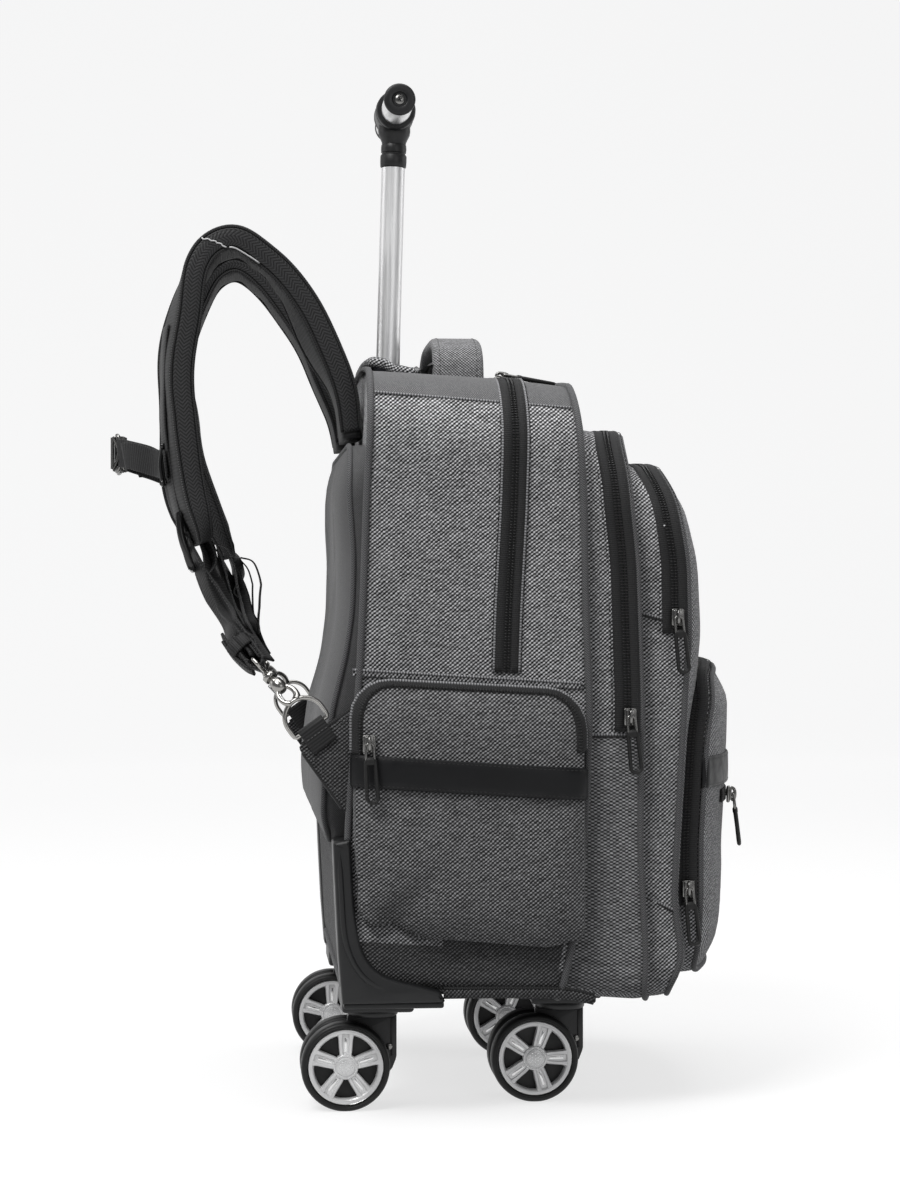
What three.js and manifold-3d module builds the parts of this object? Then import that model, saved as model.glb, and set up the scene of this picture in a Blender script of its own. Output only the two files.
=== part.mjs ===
// Wheeled backpack: a padded bag with shoulder straps, four spinner casters
// and a telescopic handle with a cross grip.
// Millimetres, +Z up. The width runs along X, the pockets face -Y and the
// wearer's back is on the +Y side. The bag stands on its wheels at Z = 0.

import * as THREE from 'three';
import { mergeVertices } from 'three/addons/utils/BufferGeometryUtils.js';
import Module from 'manifold-3d';

const wasm = await Module();
wasm.setup();

// Clearances and walls
const gap = 0.3;
const clothWall = 3;
const padCorner = 3;
const tuck = 6;

// Bag body
const bodyWidth = 316;
const bodyFloorRear = 88;
const bodyFloorFront = 78;
const bodyTopRear = 502;
const bodyTopFront = 492;
const bodyBack = 84;
const bodyFront = 79;
const bodyShoulderRadius = 52;
const bodyFootRadius = 12;
const bodyCrown = 6;

// Front compartments
const frontInset = 8;
const frontWidth = bodyWidth - frontInset * 2;
const frontReach = 118;
const frontFloorHeight = 75;
const frontTop = 460;
const frontBow = 20;
const frontTopRadius = 58;
const frontFootRadius = 16;
const middleInset = 18;
const middleWidth = bodyWidth - middleInset * 2;
const middleReach = 150;
const middleFloorHeight = 76;
const middleTop = 437;
const middleBow = 22;
const middleDome = 12;
const middleTopRadius = 56;
const middleFootRadius = 20;
const lowerInset = 30;
const lowerWidth = bodyWidth - lowerInset * 2;
const lowerReach = 168;
const lowerFloorHeight = 90;
const lowerTop = 298;
const lowerBow = 38;
const lowerDome = 6;
const lowerTopRadius = 50;
const lowerFootRadius = 22;
const compartmentCrown = 5;
const topSlope = 3;

// Back pad and lower back apron
const backPadInset = 13;
const backPadWidth = bodyWidth - backPadInset * 2;
const backPadFloorHeight = 180;
const backPadTop = 445;
const backPadReach = 106;
const backPadDome = 8;
const backPadTopRadius = 34;
const backPadFootRadius = 44;
const apronInset = 30;
const apronWidth = bodyWidth - apronInset * 2;
const apronSetback = 2;
const apronTop = backPadFloorHeight - apronSetback;
const apronFloorHeight = 94;
const apronReach = 93;
const apronRadius = 10;

// Side pockets
const sideSpan = 151;
const sideMiddle = 1.5;
const sideFloorHeight = 121;
const sideTop = 281;
const sideGusset = 10;
const sideBulge = 8;
const sideTopRadius = 22;
const sideFootRadius = 16;
const sideTopTiltHeight = 4;
const sideFloorTiltHeight = 9;

// Zips and trim bands
const zipThickness = 1.4;
const mainZipWidth = 16;
const mainZipEnd = 292;
const mainZipSetback = 40;
const mainZipFootSetback = 70;
const mainPullX = -60;
const pullSink = 0.4;
const frontZipWidth = 12;
const frontZipEnd = 252;
const frontZipSetback = 7.5;
const upperZipWidth = 12;
const upperZipEnd = 318;
const upperZipSetback = 7.5;
const lowerZipWidth = 13;
const lowerZipEnd = 135;
const lowerZipSetback = 9;
const sideZipWidth = 6;
const sideZipSetback = 4;
const smallZipHeight = 9;
const smallZipLength = 176;
const smallZipLevel = 206;
const bandThickness = 2;
const bandHeight = 21;
const sideBandLevel = 229;
const lowerBandLevel = 225;
const lowerBandLength = 236;
const pullLength = 36;
const pullWidth = 9;
const pullThickness = 2.4;
const sliderLength = 12;
const sliderHeight = 5;

// Grab handle
const grabSpan = 128;
const grabRise = 31;
const grabWidth = 36;
const grabThickness = 8;
const grabLift = 5;

// Telescopic handle
const poleDiameter = 17;
const poleWall = 1.5;
const poleLength = 410;
const poleLean = 0.0272;
const poleBase = 45;
const poleTop = 652;
const guideClearance = 0.5;
const guideWall = 2;
const guideTop = 505;
const slotWidth = 140;
const slotDepth = 44;
const neckHeight = 26;
const neckDiameter = 19;
const hubDiameter = 28;
const hubLength = 34;
const gripDiameter = 21;
const gripWall = 2;
const gripLength = 104;
const capThickness = 3;
const capDiameter = 21.6;
const capPlug = 8;
const capRecess = 1.6;

// Base, guards and caster seats
const basePanelThickness = 3;
const basePanelInset = 13;
const basePanelWidth = bodyWidth - basePanelInset * 2;
const guardStandoff = 7.3;
const guardOuter = bodyWidth / 2 + guardStandoff;
const guardWrap = 30;
const guardTop = 185;
const guardBack = 91;
const guardPost = 12;
const guardFoot = 17;
const guardBend = 44;
const guardSole = 77;
const guardReach = 51;
const seatBottom = 67;
const seatWidth = 56;
const seatDepth = 50;
const rearSeatOverlap = 30;

// Casters
const wheelDiameter = 60;
const wheelSides = 16;
const wheelPairWidth = 38;
const tyreWall = 4.4;
const rimDepth = 8;
const rimWidth = 3.6;
const rimHub = 7.5;
const spokeWidth = 7;
const spokeCount = 5;
const axleDiameter = 8;
const axleSides = 8;
const axleClearance = 0.1;
const forkThickness = 6;
const forkFlangeDiameter = 34;
const forkFlangeHeight = 5;
const casterTrail = 19;
const rearCasterInset = 48;
const rearCasterX = bodyWidth / 2 - rearCasterInset;
const frontCasterInset = 70;
const frontCasterX = bodyWidth / 2 - frontCasterInset;
const rearSwivelY = 62;
const frontSwivelY = -68;

// Shoulder straps
const strapTopX = 58;
const strapEndX = 76;
const strapAnchorY = 74.5;
const strapAnchorZ = 452;
const strapReach = 126;
const strapRise = 138;
const strapWidth = 62;
const strapThickness = 15;
const lockWidth = 30;
const lockHeight = 38;
const lockThickness = 5;
const lockSlot = 4;
const lockTongue = 10;
const webbingWidth = 20;
const webbingThickness = 1.6;

// Chest strap
const chestLevel = 434;
const chestRise = 11;
const chestReach = 30;
const chestSeatY = 206.1;
const buckleWidth = 34;
const buckleHeight = 25;
const buckleThickness = 7;

// Wings, D-rings and snap hooks
const wingThickness = 3;
const wingTuckX = 1;
const wingX = bodyWidth / 2 - wingTuckX;
const ringWire = 3.2;
const ringWidth = 26;
const ringHeight = 21;
const hookWire = 2.6;
const hookLoop = 9;
const hookShaft = 6.4;
const hookLength = 23;
const eyeWidth = 26;
const eyeHeight = 11;
const eyeBar = 2.5;
const eyeDepth = 3;
const webbingReturn = 24;
const webbingHang = [[9, -8, -19], [22, -22, -41]];
const webbingLead = 32;
const webbingTurn = 12;

// Materials
function finish(color, roughness, metalness = 0) {
  return new THREE.MeshStandardMaterial({ color, roughness, metalness });
}
const greyCloth = finish(0x55565a, 0.95);
const padCloth = finish(0x5c5d60, 0.95);
const blackCloth = finish(0x1c1d1f, 0.95);
const blackPlastic = finish(0x1d1e21, 0.55);
const darkLeather = finish(0x1a1c22, 0.6);
const rubber = finish(0x141414, 0.85);
const silver = finish(0xc4c6ca, 0.4, 0.6);
const nickel = finish(0x8d8f90, 0.3, 0.9);

const backpack = new THREE.Group();

// Small helpers
const mix = (from, to, share) => from + (to - from) * share;
const vector = (x, y, z) => new THREE.Vector3(x, y, z);

function signedVolume(geometry) {
  const place = geometry.getAttribute('position');
  const index = geometry.getIndex();
  const corner = (i) => vector(0, 0, 0).fromBufferAttribute(place, index.getX(i));
  let volume = 0;
  for (let i = 0; i < index.count; i += 3) {
    volume += corner(i).dot(corner(i + 1).cross(corner(i + 2)));
  }
  return volume / 6;
}

function facingOut(geometry) {
  if (signedVolume(geometry) < 0) {
    const list = geometry.getIndex().array;
    for (let i = 0; i < list.length; i += 3) {
      [list[i + 1], list[i + 2]] = [list[i + 2], list[i + 1]];
    }
  }
  return geometry;
}

function welded(geometry) {
  const bare = geometry.clone();
  bare.deleteAttribute('normal');
  bare.deleteAttribute('uv');
  return facingOut(mergeVertices(bare, 1e-4));
}

function solidOf(geometry) {
  const clean = welded(geometry);
  const vertProperties = new Float32Array(clean.getAttribute('position').array);
  const triVerts = new Uint32Array(clean.getIndex().array);
  return new wasm.Manifold(new wasm.Mesh({ numProp: 3, vertProperties, triVerts }));
}

function geometryOf(solid) {
  const mesh = solid.getMesh();
  const geometry = new THREE.BufferGeometry();
  geometry.setAttribute('position', new THREE.BufferAttribute(new Float32Array(mesh.vertProperties), 3));
  geometry.setIndex(new THREE.BufferAttribute(new Uint32Array(mesh.triVerts), 1));
  return geometry;
}

function place(name, shape, material, parent = backpack) {
  const geometry = shape.isBufferGeometry ? shape : geometryOf(shape);
  const mesh = new THREE.Mesh(geometry, material);
  mesh.name = name;
  parent.add(mesh);
  return mesh;
}

// One closed body through a row of rings with the same number of points
function loft(rings) {
  const count = rings[0].length;
  const points = rings.flat();
  const triangles = [];
  for (let r = 0; r + 1 < rings.length; r += 1) {
    for (let i = 0; i < count; i += 1) {
      const a = r * count + i;
      const b = r * count + ((i + 1) % count);
      triangles.push(a, b, b + count, a, b + count, a + count);
    }
  }
  const closeEnd = (first, forward) => {
    const middle = points.length;
    const centre = vector(0, 0, 0);
    for (let i = 0; i < count; i += 1) centre.add(points[first + i]);
    points.push(centre.divideScalar(count));
    for (let i = 0; i < count; i += 1) {
      const next = first + ((i + 1) % count);
      triangles.push(middle, forward ? first + i : next, forward ? next : first + i);
    }
  };
  closeEnd(0, false);
  closeEnd((rings.length - 1) * count, true);
  const geometry = new THREE.BufferGeometry().setFromPoints(points);
  geometry.setIndex(triangles);
  return facingOut(geometry);
}

// A flat strip with square edges along a row of points
function ribbon(points, across, width, thickness) {
  const rings = points.map((point, i) => {
    const before = points[Math.max(i - 1, 0)];
    const after = points[Math.min(i + 1, points.length - 1)];
    const along = after.clone().sub(before).normalize();
    const side = across[i].clone().addScaledVector(along, -across[i].dot(along)).normalize();
    const normal = along.clone().cross(side);
    const corner = (u, v) => point.clone()
      .addScaledVector(side, u * width / 2)
      .addScaledVector(normal, v * thickness / 2);
    return [corner(-1, -1), corner(1, -1), corner(1, 1), corner(-1, 1)];
  });
  return loft(rings);
}

// Points along an arc, both ends included
function arcSpots(x, y, radius, from, to, steps) {
  const spots = [];
  for (let i = 0; i <= steps; i += 1) {
    const angle = mix(from, to, i / steps);
    spots.push([x + radius * Math.cos(angle), y + radius * Math.sin(angle)]);
  }
  return spots;
}

// A flat plate in the XY plane with straight-edged holes
function plateOf(outline, holes, thickness) {
  const plain = (spots, depth) => {
    const shape = new THREE.Shape(spots.map(([x, y]) => new THREE.Vector2(x, y)));
    return new THREE.ExtrudeGeometry(shape, { depth, bevelEnabled: false });
  };
  if (holes.length === 0) return plain(outline, thickness);
  const plug = (hole) => solidOf(plain(hole, 3 * thickness).translate(0, 0, -thickness));
  const cut = (solid, hole) => solid.subtract(plug(hole));
  return geometryOf(holes.reduce(cut, solidOf(plain(outline, thickness))));
}

// An outline in the YZ plane as a slab between two X values
function slabAcross(outline, fromX, toX, holes = []) {
  const turn = new THREE.Matrix4().makeBasis(vector(0, 1, 0), vector(0, 0, 1), vector(1, 0, 0));
  return plateOf(outline, holes, toX - fromX).applyMatrix4(turn).translate(fromX, 0, 0);
}

function box(fromX, toX, fromY, toY, fromZ, toZ) {
  const geometry = new THREE.BoxGeometry(toX - fromX, toY - fromY, toZ - fromZ);
  return geometry.translate((fromX + toX) / 2, (fromY + toY) / 2, (fromZ + toZ) / 2);
}

function sideways(geometry, side) {
  return welded(geometry.clone().scale(side, 1, 1));
}

// Padded forms
// A form is an outline in the XZ plane carried from a rear face to a front face.
// Its tables give the two faces as shares of a reach, row by row up the height.
function faceLine(rows, column, reach, floor, top) {
  return (z) => {
    const share = (z - floor) / (top - floor);
    const last = rows.length - 1;
    if (share <= rows[0].height) return reach * rows[0][column];
    if (share >= rows[last].height) return reach * rows[last][column];
    const next = rows.findIndex((row) => row.height > share);
    const low = rows[next - 1];
    const high = rows[next];
    return reach * mix(low[column], high[column], (share - low.height) / (high.height - low.height));
  };
}

const fineSteps = { corner: 3, side: 6, top: 4, bottom: 1 };
const plainSteps = { corner: 2, side: 6, top: 2, bottom: 1 };

function outlineOf(form, grow, steps) {
  const points = [];
  const flatTop = form.halfWidth - form.topRadius;
  const flatFloor = form.halfWidth - form.footRadius;
  const shoulder = form.height - form.crown - form.topRadius;
  const arc = (x, z, radius, start) => {
    for (let i = 0; i <= steps.corner; i += 1) {
      const angle = start + (Math.PI / 2) * (i / steps.corner);
      points.push({ x: x + radius * Math.cos(angle), z: z + radius * Math.sin(angle) });
    }
  };
  const topRadius = Math.max(form.topRadius + grow, 1);
  const footRadius = Math.max(form.footRadius + grow, 1);
  const rise = (i) => mix(form.footRadius, shoulder, i / steps.side);
  arc(flatFloor, form.footRadius, footRadius, -Math.PI / 2);
  for (let i = 1; i < steps.side; i += 1) points.push({ x: form.halfWidth + grow, z: rise(i) });
  arc(flatTop, shoulder, topRadius, 0);
  for (let i = 1; i < steps.top; i += 1) {
    const share = 1 - (2 * i) / steps.top;
    points.push({ x: flatTop * share, z: form.height - form.crown * share ** 2 + grow });
  }
  arc(-flatTop, shoulder, topRadius, Math.PI / 2);
  for (let i = steps.side - 1; i > 0; i -= 1) points.push({ x: -form.halfWidth - grow, z: rise(i) });
  arc(-flatFloor, form.footRadius, footRadius, Math.PI);
  for (let i = 1; i < steps.bottom; i += 1) {
    points.push({ x: mix(-flatFloor, flatFloor, i / steps.bottom), z: -grow });
  }
  return points;
}

// depth is 0 on the rear face and 1 on the front face, spread is 1 on the outline
function formPoint(form, point, depth, spread, grow) {
  const x = point.x * spread;
  const share = 0.5 + (point.z / form.height - 0.5) * spread;
  const floor = mix(form.floorRear, form.floorFront, depth);
  const top = mix(form.topRear, form.topFront, depth);
  const tilt = mix(form.tiltFloor, form.tiltTop, share) * (x / form.halfWidth);
  const z = mix(floor, top, share) + tilt;
  const dome = 1 - spread ** form.domePower;
  const bow = Math.max(1 - (x / form.halfWidth) ** 2, 0);
  const rear = form.rear(z) + grow + form.rearDome * dome;
  const front = form.front(z) - grow - form.frontDome * dome - form.frontBow * bow;
  return vector(x, depth === 0 ? rear : front, z);
}

function formOf(settings) {
  const plain = {
    crown: 0, tiltFloor: 0, tiltTop: 0, domePower: 6, rearDome: 0, frontDome: 0, frontBow: 0,
    rearRings: [1], frontRings: [1], steps: fineSteps,
  };
  const form = { ...plain, ...settings };
  form.height = form.topRear - form.floorRear;
  return form;
}

function formGeometry(form, grow, steps, rearExtra = 0) {
  const outline = outlineOf(form, grow, steps);
  const ring = (depth, spread) => outline.map((point) => {
    const spot = formPoint(form, point, depth, spread, grow);
    if (depth === 0) spot.y += rearExtra;
    return spot;
  });
  return loft([
    ...form.rearRings.map((spread) => ring(0, spread)),
    ...form.frontRings.map((spread) => ring(1, spread)),
  ]);
}

const formSolid = (form, grow = 0) => solidOf(formGeometry(form, grow, form.steps));
const cavityOf = (form, rearExtra = 0) => solidOf(formGeometry(form, -clothWall, plainSteps, rearExtra));

// A strip that runs up one side of a form, over its top and down the other side.
// Its setback is the distance of its middle behind the form's front edge.
function archStrip(form, endLevel, width, setback) {
  const clip = (grow) => {
    const list = outlineOf(form, grow, form.steps);
    const level = endLevel - form.floorRear;
    const kept = [];
    list.forEach((point, i) => {
      const previous = list[i - 1];
      if (previous && (previous.z < level) !== (point.z < level)) {
        const share = (level - previous.z) / (point.z - previous.z);
        kept.push({ x: mix(previous.x, point.x, share), z: level });
      }
      if (point.z >= level) kept.push(point);
    });
    return kept;
  };
  const inner = clip(gap);
  const outer = clip(gap + zipThickness);
  const rings = inner.map((point, i) => {
    const corner = (source, grow, side) => {
      const rear = formPoint(form, source, 0, 1, grow);
      const front = formPoint(form, source, 1, 1, grow);
      const behind = setback(point.z / form.height) - side * width / 2;
      return front.lerp(rear, behind / (rear.y - front.y));
    };
    return [
      corner(point, gap, -1),
      corner(point, gap, 1),
      corner(outer[i], gap + zipThickness, 1),
      corner(outer[i], gap + zipThickness, -1),
    ];
  });
  return solidOf(loft(rings));
}

// A trim band that lies on the front of a form between two levels
function faceBand(form, low, high, halfLength, thickness, tilt = 0) {
  const skin = formSolid(form, gap + thickness).subtract(formSolid(form, gap));
  const rearLimit = Math.max(form.front(low), form.front(high)) + form.bandWrap;
  const frame = box(-halfLength, halfLength, -lowerReach * 2, rearLimit, low, high);
  const lean = new THREE.Matrix4().makeShear(0, tilt, 0, 0, 0, 0);
  return skin.intersect(solidOf(frame.applyMatrix4(lean)));
}

// Slider with its open-loop pull, hanging down from the slider along -Z,
// with the zip's outward direction along +Y and the slider at the origin
function zipPull() {
  const slider = box(-pullWidth / 2, pullWidth / 2, -1, sliderHeight, -sliderLength / 2, sliderLength / 2);
  const half = pullWidth / 2;
  const eyeHalf = pullWidth / 5;
  const tip = arcSpots(0, half - pullLength, half, Math.PI, 2 * Math.PI, 4);
  const eye = [
    [-eyeHalf, -pullLength / 3], [eyeHalf, -pullLength / 3],
    [eyeHalf, eyeHalf + 2 - pullLength], [-eyeHalf, eyeHalf + 2 - pullLength],
  ];
  const pull = plateOf([[-half, 0], ...tip, [half, 0]], [eye], pullThickness)
    .rotateX(Math.PI / 2)
    .translate(0, sliderHeight, 1 - sliderLength / 2);
  return solidOf(slider).add(solidOf(pull));
}

function pullAt(spot, outward, down = vector(0, 0, -1)) {
  const up = down.clone().negate();
  const along = outward.clone().addScaledVector(up, -outward.dot(up)).normalize();
  const turn = new THREE.Matrix4().makeBasis(along.clone().cross(up), along, up).setPosition(spot);
  return solidOf(geometryOf(zipPull()).applyMatrix4(turn));
}

// Tables of the faces, as shares of each form's reach
const bodyRows = [
  { height: 0.0, rear: 1.0, front: 0.73 },
  { height: 0.04, rear: 0.99, front: 0.8 },
  { height: 0.15, rear: 0.985, front: 0.91 },
  { height: 0.31, rear: 0.95, front: 0.965 },
  { height: 0.46, rear: 0.885, front: 1.0 },
  { height: 0.62, rear: 0.845, front: 0.965 },
  { height: 0.78, rear: 0.82, front: 0.95 },
  { height: 0.9, rear: 0.785, front: 0.925 },
  { height: 1.0, rear: 0.775, front: 0.88 },
];
const frontRows = [
  { height: 0.0, front: 0.98 },
  { height: 0.06, front: 1.0 },
  { height: 0.25, front: 0.967 },
  { height: 0.52, front: 0.975 },
  { height: 0.76, front: 0.949 },
  { height: 0.9, front: 0.898 },
  { height: 1.0, front: 0.8 },
];
const middleRows = [
  { height: 0.0, front: 0.87 },
  { height: 0.06, front: 0.965 },
  { height: 0.17, front: 0.92 },
  { height: 0.4, front: 0.95 },
  { height: 0.6, front: 0.98 },
  { height: 0.66, front: 0.993 },
  { height: 0.81, front: 0.985 },
  { height: 0.92, front: 0.935 },
  { height: 1.0, front: 0.81 },
];
const lowerRows = [
  { height: 0.0, front: 0.88 },
  { height: 0.08, front: 0.915 },
  { height: 0.24, front: 0.925 },
  { height: 0.43, front: 0.935 },
  { height: 0.7, front: 0.965 },
  { height: 0.88, front: 0.985 },
  { height: 1.0, front: 0.93 },
];
const backPadRows = [
  { height: 0.0, rear: 0.86 },
  { height: 0.07, rear: 0.92 },
  { height: 0.2, rear: 0.905 },
  { height: 0.34, rear: 0.86 },
  { height: 0.475, rear: 0.775 },
  { height: 0.58, rear: 0.735 },
  { height: 0.72, rear: 0.725 },
  { height: 0.88, rear: 0.755 },
  { height: 1.0, rear: 0.74 },
];
const apronRows = [
  { height: 0.0, rear: 0.95 },
  { height: 1.0, rear: 1.0 },
];

const body = formOf({
  halfWidth: bodyWidth / 2,
  floorRear: bodyFloorRear,
  floorFront: bodyFloorFront,
  topRear: bodyTopRear,
  topFront: bodyTopFront,
  topRadius: bodyShoulderRadius,
  footRadius: bodyFootRadius,
  crown: bodyCrown,
  rearRings: [0.55, 1],
  frontRings: [1, 0.55],
  rear: faceLine(bodyRows, 'rear', bodyBack, bodyFloorRear, bodyTopRear),
  front: faceLine(bodyRows, 'front', -bodyFront, bodyFloorFront, bodyTopFront),
});

const frontForm = formOf({
  halfWidth: frontWidth / 2,
  floorRear: bodyFloorFront + clothWall,
  floorFront: frontFloorHeight,
  topRear: frontTop + topSlope,
  topFront: frontTop - topSlope,
  topRadius: frontTopRadius,
  footRadius: frontFootRadius,
  crown: compartmentCrown,
  frontBow,
  frontRings: [1, 0.6],
  rear: (z) => body.front(z) + tuck,
  front: faceLine(frontRows, 'front', -frontReach, frontFloorHeight, frontTop),
});

const middleForm = formOf({
  halfWidth: middleWidth / 2,
  floorRear: middleFloorHeight,
  floorFront: middleFloorHeight,
  topRear: middleTop + topSlope,
  topFront: middleTop - topSlope,
  topRadius: middleTopRadius,
  footRadius: middleFootRadius,
  crown: compartmentCrown,
  frontBow: middleBow,
  frontDome: middleDome,
  domePower: 8,
  frontRings: [1, 0.92, 0.7],
  rear: (z) => frontForm.front(z) + tuck,
  front: faceLine(middleRows, 'front', -middleReach, middleFloorHeight, middleTop),
});

const lowerForm = formOf({
  halfWidth: lowerWidth / 2,
  floorRear: lowerFloorHeight,
  floorFront: lowerFloorHeight,
  topRear: lowerTop + topSlope,
  topFront: lowerTop - topSlope,
  topRadius: lowerTopRadius,
  footRadius: lowerFootRadius,
  crown: compartmentCrown,
  frontBow: lowerBow,
  frontDome: lowerDome,
  frontRings: [1, 0.92, 0.6],
  bandWrap: 0,
  rear: (z) => middleForm.front(z) + tuck,
  front: faceLine(lowerRows, 'front', -lowerReach, lowerFloorHeight, lowerTop),
});

const backPadForm = formOf({
  halfWidth: backPadWidth / 2,
  floorRear: backPadFloorHeight,
  floorFront: backPadFloorHeight,
  topRear: backPadTop,
  topFront: backPadTop,
  topRadius: backPadTopRadius,
  footRadius: backPadFootRadius,
  rearDome: backPadDome,
  domePower: 8,
  rearRings: [0.5, 0.82, 0.95, 1],
  rear: faceLine(backPadRows, 'rear', backPadReach, backPadFloorHeight, backPadTop),
  front: (z) => body.rear(z) - tuck,
});

const apronForm = formOf({
  halfWidth: apronWidth / 2,
  floorRear: apronFloorHeight,
  floorFront: apronFloorHeight,
  topRear: apronTop,
  topFront: apronTop,
  topRadius: apronRadius,
  footRadius: apronRadius,
  steps: { corner: 2, side: 1, top: 1, bottom: 1 },
  rear: faceLine(apronRows, 'rear', apronReach, apronFloorHeight, apronTop),
  front: (z) => body.rear(z) - tuck,
});

const sideForm = formOf({
  halfWidth: sideSpan / 2,
  floorRear: sideFloorHeight,
  floorFront: sideFloorHeight,
  topRear: sideTop,
  topFront: sideTop,
  topRadius: sideTopRadius,
  footRadius: sideFootRadius,
  tiltTop: sideTopTiltHeight,
  tiltFloor: sideFloorTiltHeight,
  frontDome: sideBulge,
  frontRings: [1, 0.92, 0.6],
  steps: { corner: 3, side: 1, top: 1, bottom: 1 },
  bandWrap: sideGusset - 4,
  rear: () => -bodyWidth / 2 - gap,
  front: () => -bodyWidth / 2 - gap - sideGusset,
});

// Grown copies that neighbours are cut with
const bodyCutter = formSolid(body, gap);
const frontCutter = formSolid(frontForm, gap);
const middleCutter = formSolid(middleForm, gap);

// The underside of the body falls from the rear to the front
const floorRun = bodyBack + bodyFront * bodyRows[0].front;
const floorAt = (y) => mix(bodyFloorRear, bodyFloorFront, (bodyBack - y) / floorRun);

function basePanelSolid(grow) {
  const rear = bodyBack - 2 + grow;
  const front = 12 - bodyFront * bodyRows[0].front - grow;
  const top = -gap + grow;
  const bottom = -gap - basePanelThickness - grow;
  const outline = [
    [front, floorAt(front) + bottom],
    [rear, floorAt(rear) + bottom],
    [rear, floorAt(rear) + top],
    [front, floorAt(front) + top],
  ];
  return solidOf(slabAcross(outline, -basePanelWidth / 2 - grow, basePanelWidth / 2 + grow));
}
const baseCutter = basePanelSolid(gap);

// Bag body with the handle slot in its top
const slotFromY = poleBase - slotDepth / 2;
const slotToY = poleBase + slotDepth / 2;
const slotCutter = solidOf(box(
  -slotWidth / 2, slotWidth / 2,
  slotFromY, Math.min(slotToY, body.rear(bodyTopRear) - clothWall),
  bodyTopFront - bodyCrown - 2 * clothWall, bodyTopRear + clothWall,
));

place('main_body', formSolid(body).subtract(cavityOf(body)).subtract(slotCutter), greyCloth);
place('front_compartment', formSolid(frontForm).subtract(cavityOf(frontForm, 3 * tuck))
  .subtract(bodyCutter).subtract(baseCutter), greyCloth);
place('middle_compartment', formSolid(middleForm).subtract(cavityOf(middleForm, 3 * tuck))
  .subtract(frontCutter), greyCloth);
place('lower_pocket', formSolid(lowerForm).subtract(cavityOf(lowerForm, 3 * tuck))
  .subtract(middleCutter), greyCloth);
place('back_pad', formSolid(backPadForm).subtract(bodyCutter), padCloth);
place('rear_apron', formSolid(apronForm).subtract(bodyCutter), greyCloth);
place('base_panel', basePanelSolid(0), blackPlastic);

// Zips
// What a slider stands on: the form grown by a little less than the gap
const seatOf = (form) => formSolid(form, gap * 0.9);

function mainZip() {
  const setback = (share) => mix(mainZipFootSetback, mainZipSetback, share);
  const strip = archStrip(body, mainZipEnd, mainZipWidth, setback);
  const x = mainPullX;
  const flatTop = body.halfWidth - body.topRadius;
  const crownFall = bodyCrown * (x / flatTop) ** 2;
  const level = mix(bodyTopRear, bodyTopFront, 0.7) - crownFall + gap + zipThickness - pullSink;
  const fall = (bodyTopRear - bodyTopFront) / (bodyBack + bodyFront);
  const spot = vector(x, mainZipSetback - bodyFront + 8, level);
  const pull = pullAt(spot, vector(0, -fall, 1), vector(0, -1, -fall));
  return strip.add(pull.subtract(seatOf(body)));
}

function compartmentZip(form, endLevel, width, setback, carrier) {
  const strip = archStrip(form, endLevel, width, () => setback);
  const level = endLevel + sliderLength;
  const face = form.halfWidth + gap + zipThickness - pullSink;
  const spot = vector(-face, form.front(level) + pullWidth / 6, level);
  return strip.subtract(carrier).add(pullAt(spot, vector(-1, 0, 0)).subtract(seatOf(form)));
}

place('main_zip', mainZip(), blackCloth);
const frontZip = compartmentZip(frontForm, frontZipEnd, frontZipWidth, frontZipSetback, bodyCutter);
const upperZip = compartmentZip(middleForm, upperZipEnd, upperZipWidth, upperZipSetback, frontCutter);
const lowerZip = compartmentZip(lowerForm, lowerZipEnd, lowerZipWidth, lowerZipSetback, middleCutter);
place('front_zip', frontZip, blackCloth);
place('upper_zip', upperZip, blackCloth);
place('lower_zip', lowerZip, blackCloth);

function smallZip() {
  const low = smallZipLevel - smallZipHeight / 2;
  const strip = faceBand(lowerForm, low, low + smallZipHeight, smallZipLength / 2, zipThickness);
  const spread = lowerForm.frontRings[lowerForm.frontRings.length - 1];
  const bow = lowerForm.frontBow * (1 - spread ** 2);
  const face = lowerForm.front(smallZipLevel) - bow - lowerForm.frontDome - gap - zipThickness;
  const spot = vector(-lowerForm.halfWidth * spread, face + 0.8, smallZipLevel);
  return strip.add(pullAt(spot, vector(0, -1, 0)).subtract(seatOf(lowerForm)));
}
place('small_zip', smallZip(), blackCloth);
place('lower_band', faceBand(
  lowerForm, lowerBandLevel - bandHeight / 2, lowerBandLevel + bandHeight / 2,
  lowerBandLength / 2, bandThickness,
), darkLeather);

// Side pockets, each made facing -Y and then turned to its side of the bag
function ontoSide(shape, side) {
  const geometry = geometryOf(shape);
  const turn = new THREE.Matrix4().makeBasis(vector(0, 1, 0), vector(-1, 0, 0), vector(0, 0, 1));
  geometry.applyMatrix4(turn).translate(0, sideMiddle, 0);
  return sideways(geometry, side);
}

const sidePocket = formSolid(sideForm).subtract(cavityOf(sideForm, 3 * tuck));
const sidePocketGrown = formSolid(sideForm, gap);
const sideBandLow = sideBandLevel - bandHeight / 2;
const sideBand = faceBand(sideForm, sideBandLow, sideBandLow + bandHeight, sideSpan, bandThickness, 0.05);
const sideZip = archStrip(sideForm, sideBandLow + bandHeight + 6, sideZipWidth, () => sideZipSetback)
  .add(pullAt(
    vector(sideSpan / 2 - 9, sideForm.front(sideTop) - sideBulge + 0.2 - bandThickness, sideBandLevel + 22),
    vector(0, -1, 0),
  ))
  .add(solidOf(box(
    sideSpan / 2 - 12, sideSpan / 2 + gap + zipThickness,
    sideForm.front(sideTop) - sideBulge - bandThickness, sideForm.front(sideTop) + sideGusset * 0.7,
    sideBandLow + bandHeight + 6.5, sideBandLow + bandHeight + 14,
  )).subtract(sidePocketGrown));

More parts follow.
